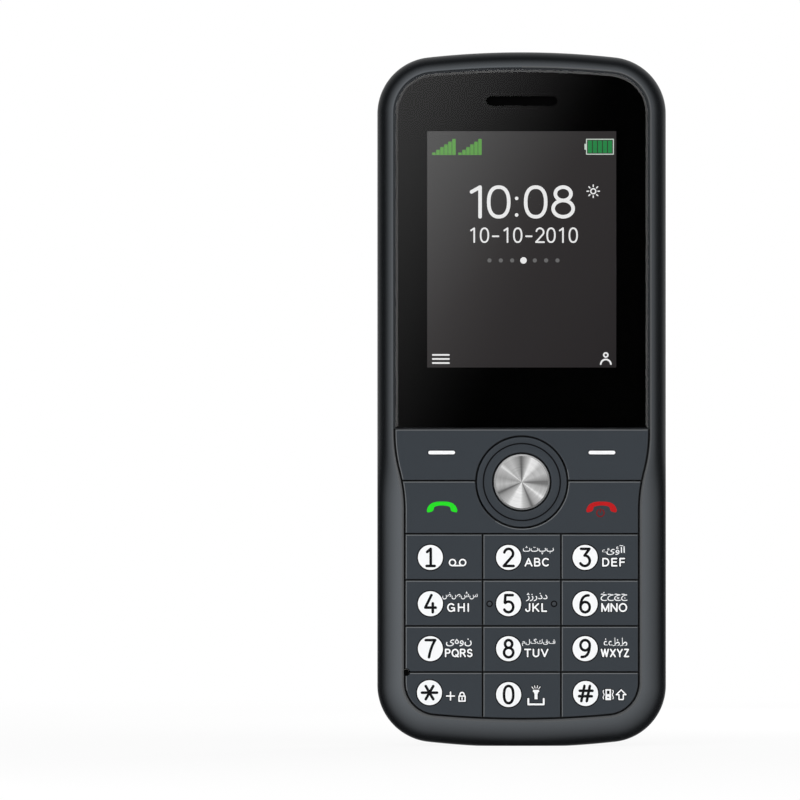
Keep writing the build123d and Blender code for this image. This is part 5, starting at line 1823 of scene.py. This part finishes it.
def makePicture():
    width, height = 2 * screen["halfWidth"], 2 * screen["halfHeight"]
    back = blockAt(0, screen["middleZ"], width, height, pictureY, panelFrontY)
    litPiece("screen_picture", [back], "picture", 0.0)

    parts = []
    for figure, x in zip(clock["figures"], clock["centres"]):
        parts += litFigure(figure, x, clock)
    for index, figure in enumerate(date["figures"]):
        parts += litFigure(figure, date["lowX"] + index * date["pitch"], date)
    # sun for the half of the day, and one bright dot of seven for the day
    parts.append(litLine(loop(sun["x"], sun["z"], sun["radius"], sun["radius"]), sun["stroke"], True))
    for turn in range(sun["rays"]):
        angle = turn * 2 * math.pi / sun["rays"]
        away = np.array([math.cos(angle), math.sin(angle)])
        start, end = (np.array([sun["x"], sun["z"]]) + away * sun[name] for name in ("rayFrom", "rayTo"))
        parts.append(litLine(straight(start, end)[0], sun["rayStroke"]))
    parts.append(litDot(days["x"], days["z"], days["today"]))
    # list sign and person sign where the two softkeys say what they do
    for row in range(3):
        z = listSign["lowZ"] + row * listSign["pitch"]
        parts.append(litLine(straight((listSign["lowX"], z), (listSign["highX"], z))[0], listSign["stroke"]))
    head = loop(person["x"], person["headZ"], person["head"], person["head"])
    parts.append(litLine(head, person["headStroke"], True))
    shoulders = arc(person["x"], person["shoulderZ"], person["shoulders"], person["shoulders"], 175, 5)
    parts.append(litLine(shoulders, person["stroke"]))
    litPiece("screen_figures", parts, "glowWhite")

    others = [litDot(days["x"] + step * days["pitch"], days["z"], days["other"])
              for step in (-3, -2, -1, 1, 2, 3)]
    litPiece("screen_days", others, "glowDim")

    bars = []
    for leftX in signal["leftX"]:
        for step in range(signal["bars"]):
            height = signal["low"] + step / (signal["bars"] - 1) * (signal["high"] - signal["low"])
            x, z = leftX + (step + 0.5) * signal["pitch"], signal["lowZ"] + height / 2
            bars.append(blockAt(x, z, signal["pitch"] - signal["gap"], height, figureY, pictureY))
    litPiece("screen_signal", bars, "glowGreen", 0.0)

    x, z, halfW, halfH = charge["x"], charge["z"], charge["width"] / 2, charge["height"] / 2
    outline = straight((x - halfW, z - halfH), (x + halfW, z - halfH), (x + halfW, z + halfH),
                       (x - halfW, z + halfH), (x - halfW, z - halfH))
    parts = [litLine(run, charge["stroke"]) for run in outline]
    tipX = x - halfW - charge["tipAway"]
    parts.append(blockAt(tipX, z, charge["tipWidth"], charge["tipHeight"], figureY, pictureY))
    litPiece("screen_battery_case", parts, "glowPale")
    pitch = (charge["width"] - 2 * charge["margin"]) / charge["cells"]
    width, height = pitch - charge["cellGap"], charge["height"] - charge["cellFall"]
    first = x - halfW + charge["margin"]
    cells = [blockAt(first + (step + 0.5) * pitch, z, width, height, figureY, pictureY)
             for step in range(charge["cells"])]
    litPiece("screen_battery_cells", cells, "glowDeep", 0.0)


makePicture()
print("screen lit")


# Studio: pale floor, white surroundings, lamps and the camera

studio = {
    "floorHalf": 4.0,
    "floorColour": (0.86, 0.86, 0.86, 1),
    # the floor shows a little grey near the phone and white further out: distances and levels
    "greyTo": 0.03,
    "whiteFrom": 0.35,
    "greyLevel": 0.90,
    "cameraX": -20.40 * mm,
    "cameraZ": 58.0 * mm,
    "frameWidth": 134.12 * mm,
    "lens": 600.0,
    "planeBack": 2.5 * mm,
    "sensor": 36.0,
    # (angle from straight ahead in degrees, level as a share of full brightness), widest angle first
    "frontRing": (
        (90, 0.045), (85, 0.07), (79, 0.14), (73, 0.23), (68, 0.36), (57, 0.56), (46, 0.80), (36, 1.0),
        (27, 0.80), (12, 0.42),
    ),
    "rearRing": (
        (90, 0.045), (82, 0.03), (75, 0.03), (67, 0.05), (59, 0.085), (49, 0.125), (38, 0.16), (26, 0.2),
        (12, 0.16),
    ),
    "rise": 4.0,
    "brightness": 1.78,
    # how much brighter it is overhead and at the left of each face
    "lean": 0.5,
    "leanUp": 0.6,
    "leanLeft": 0.5,
    # the dark patch straight ahead in degrees, and the card that lights its upper left part
    "patchOuter": 8.0,
    "patchInner": 4.0,
    "cardLevel": 0.51,
    "cardFrom": -0.011,
    "cardTo": 0.007,
    "cardSlant": 0.4,
    "cardShift": 0.004,
    "cardRise": 20.0,
    "cardBase": 0.55,
}
# (name, place, size, power) of the lamps that light without showing in the gloss
lamps = (
    ("keyLamp", (-0.12, -0.32, 0.09), 0.08, 0.2),
    ("backLamp", (0.11, 0.24, 0.09), 0.08, 0.5),
    ("rightLamp", (0.9, 0.0, 0.35), 0.5, 0.2),
    ("leftLamp", (-0.9, 0.0, 0.35), 0.5, 0.2),
)
lampsAimZ = 0.06


def rangeNode(tree, value, low, high, lowest=0.0, highest=1.0, smooth=False):
    # maps low..high to lowest..highest, and holds the ends
    node = tree.nodes.new("ShaderNodeMapRange")
    node.interpolation_type = "SMOOTHSTEP" if smooth else "LINEAR"
    named = (("Value", value), ("From Min", low), ("From Max", high), ("To Min", lowest), ("To Max", highest))
    for label, given in named:
        feed(tree, given, node.inputs[label])
    return node.outputs[0]


def makeFloor():
    # for the camera the floor gives off white light, a little greyer near the phone; other rays find it pale
    half = studio["floorHalf"]
    mesh = bpy.data.meshes.new("floor")
    mesh.from_pydata(
        [(-half, -half, 0), (half, -half, 0), (half, half, 0), (-half, half, 0)], [], [(0, 1, 2, 3)]
    )
    floor = bpy.data.objects.new("floor", mesh)
    bpy.context.scene.collection.objects.link(floor)
    material, tree, _ = newMaterial(
        "paleFloor", Base_Color=studio["floorColour"], Roughness=0.9, Specular_IOR_Level=0.1
    )
    glow = tree.nodes.new("ShaderNodeEmission")
    glow.inputs["Color"].default_value = (1, 1, 1, 1)
    path = tree.nodes.new("ShaderNodeLightPath").outputs
    seen = mathNode(tree, "MAXIMUM", path["Is Camera Ray"], path["Is Transmission Ray"])
    place = tree.nodes.new("ShaderNodeTexCoord")
    away = tree.nodes.new("ShaderNodeVectorMath")
    away.operation = "LENGTH"
    link(tree, place, "Object", away, 0)
    reach = rangeNode(tree, away.outputs["Value"], studio["greyTo"], studio["whiteFrom"], studio["greyLevel"])
    blend = tree.nodes.new("ShaderNodeMixShader")
    feed(tree, product(tree, seen, reach), blend.inputs[0])
    feed(tree, tree.nodes["Principled BSDF"].outputs[0], blend.inputs[1])
    feed(tree, glow.outputs[0], blend.inputs[2])
    feed(tree, blend.outputs[0], tree.nodes["Material Output"].inputs["Surface"])
    mesh.materials.append(material)
    floor.visible_glossy = False  # the gloss of the lower bevel shows the ring, as in the photo


def makeWorld():
    # white for the camera; as light, a soft ring in front of the phone and a weaker one behind it,
    # with dark sides between them and a small dark patch straight ahead
    world = bpy.data.worlds.new("studio")
    bpy.context.scene.world = world
    world.use_nodes = True
    tree = world.node_tree
    x, y, z = (axesOf(tree, "Generated")[name] for name in "XYZ")
    ahead = mathNode(tree, "ABSOLUTE", y)
    rise = math.radians(studio["rise"])
    facing = summed(tree, product(tree, ahead, math.cos(rise)), product(tree, z, math.sin(rise)))
    inFront = mathNode(tree, "LESS_THAN", y, 0.0)
    rings = []
    for name in ("frontRing", "rearRing"):
        stops = [(math.cos(math.radians(angle)), (level,) * 3) for angle, level in studio[name]]
        rings.append(rampNode(tree, facing, stops))
    ring = mixColour(tree, inFront, rings[1], rings[0])
    outer, inner = (math.cos(math.radians(studio[name])) for name in ("patchOuter", "patchInner"))
    spot = rangeNode(tree, ahead, outer, inner, smooth=True)
    sideways = product(tree, x, mathNode(tree, "SIGN", y))
    slant = summed(tree, sideways, product(tree, z, studio["cardSlant"]))
    slant = mathNode(tree, "SUBTRACT", slant, studio["cardShift"])
    card = rangeNode(tree, slant, studio["cardFrom"], studio["cardTo"], 0.0, studio["cardLevel"], smooth=True)
    higher = mathNode(tree, "MULTIPLY_ADD", z, studio["cardRise"], studio["cardBase"])
    patch = product(tree, product(tree, card, higher), inFront)
    level = mixColour(tree, spot, ring, patch)
    lean = summed(tree, product(tree, z, studio["leanUp"]), product(tree, sideways, studio["leanLeft"]))
    tilt = summed(tree, product(tree, lean, studio["lean"]), studio["brightness"])
    lit = mixColour(tree, 1.0, level, tilt, "MULTIPLY")
    path = tree.nodes.new("ShaderNodeLightPath").outputs
    # through the clear window the world is white too, but not where the ray was reflected before
    unreflected = mathNode(tree, "LESS_THAN", path["Glossy Depth"], 0.5)
    through = product(tree, path["Is Transmission Ray"], unreflected)
    seen = mathNode(tree, "MAXIMUM", path["Is Camera Ray"], through)
    back = tree.nodes["Background"]
    feed(tree, mixColour(tree, seen, lit, (1.0, 1.0, 1.0)), back.inputs["Color"])
    back.inputs["Strength"].default_value = 1.0


def makeLamp(name, place, size, power):
    # a soft lamp that lights without showing in the gloss
    data = bpy.data.lights.new(name, "AREA")
    data.shape = "DISK"
    data.size = size
    data.energy = power
    lamp = bpy.data.objects.new(name, data)
    bpy.context.scene.collection.objects.link(lamp)
    lamp.location = place
    aim = -lamp.location.copy()
    aim.z += lampsAimZ
    lamp.rotation_euler = aim.to_track_quat("-Z", "Y").to_euler()
    lamp.visible_glossy = False
    lamp.visible_camera = False


def makeCamera():
    data = bpy.data.cameras.new("camera")
    data.lens = studio["lens"]
    data.sensor_width = studio["sensor"]
    data.clip_start = 0.01
    data.clip_end = 50
    shot = bpy.data.objects.new("camera", data)
    bpy.context.scene.collection.objects.link(shot)
    distance = studio["frameWidth"] * studio["lens"] / studio["sensor"]
    shot.location = (studio["cameraX"], keyFrontY + studio["planeBack"] - distance, studio["cameraZ"])
    shot.rotation_euler = (math.pi / 2, 0, 0)
    bpy.context.scene.camera = shot


makeFloor()
makeWorld()
for lamp in lamps:
    makeLamp(*lamp)
makeCamera()
bpy.context.scene.view_settings.view_transform = "Standard"
print("studio ready")
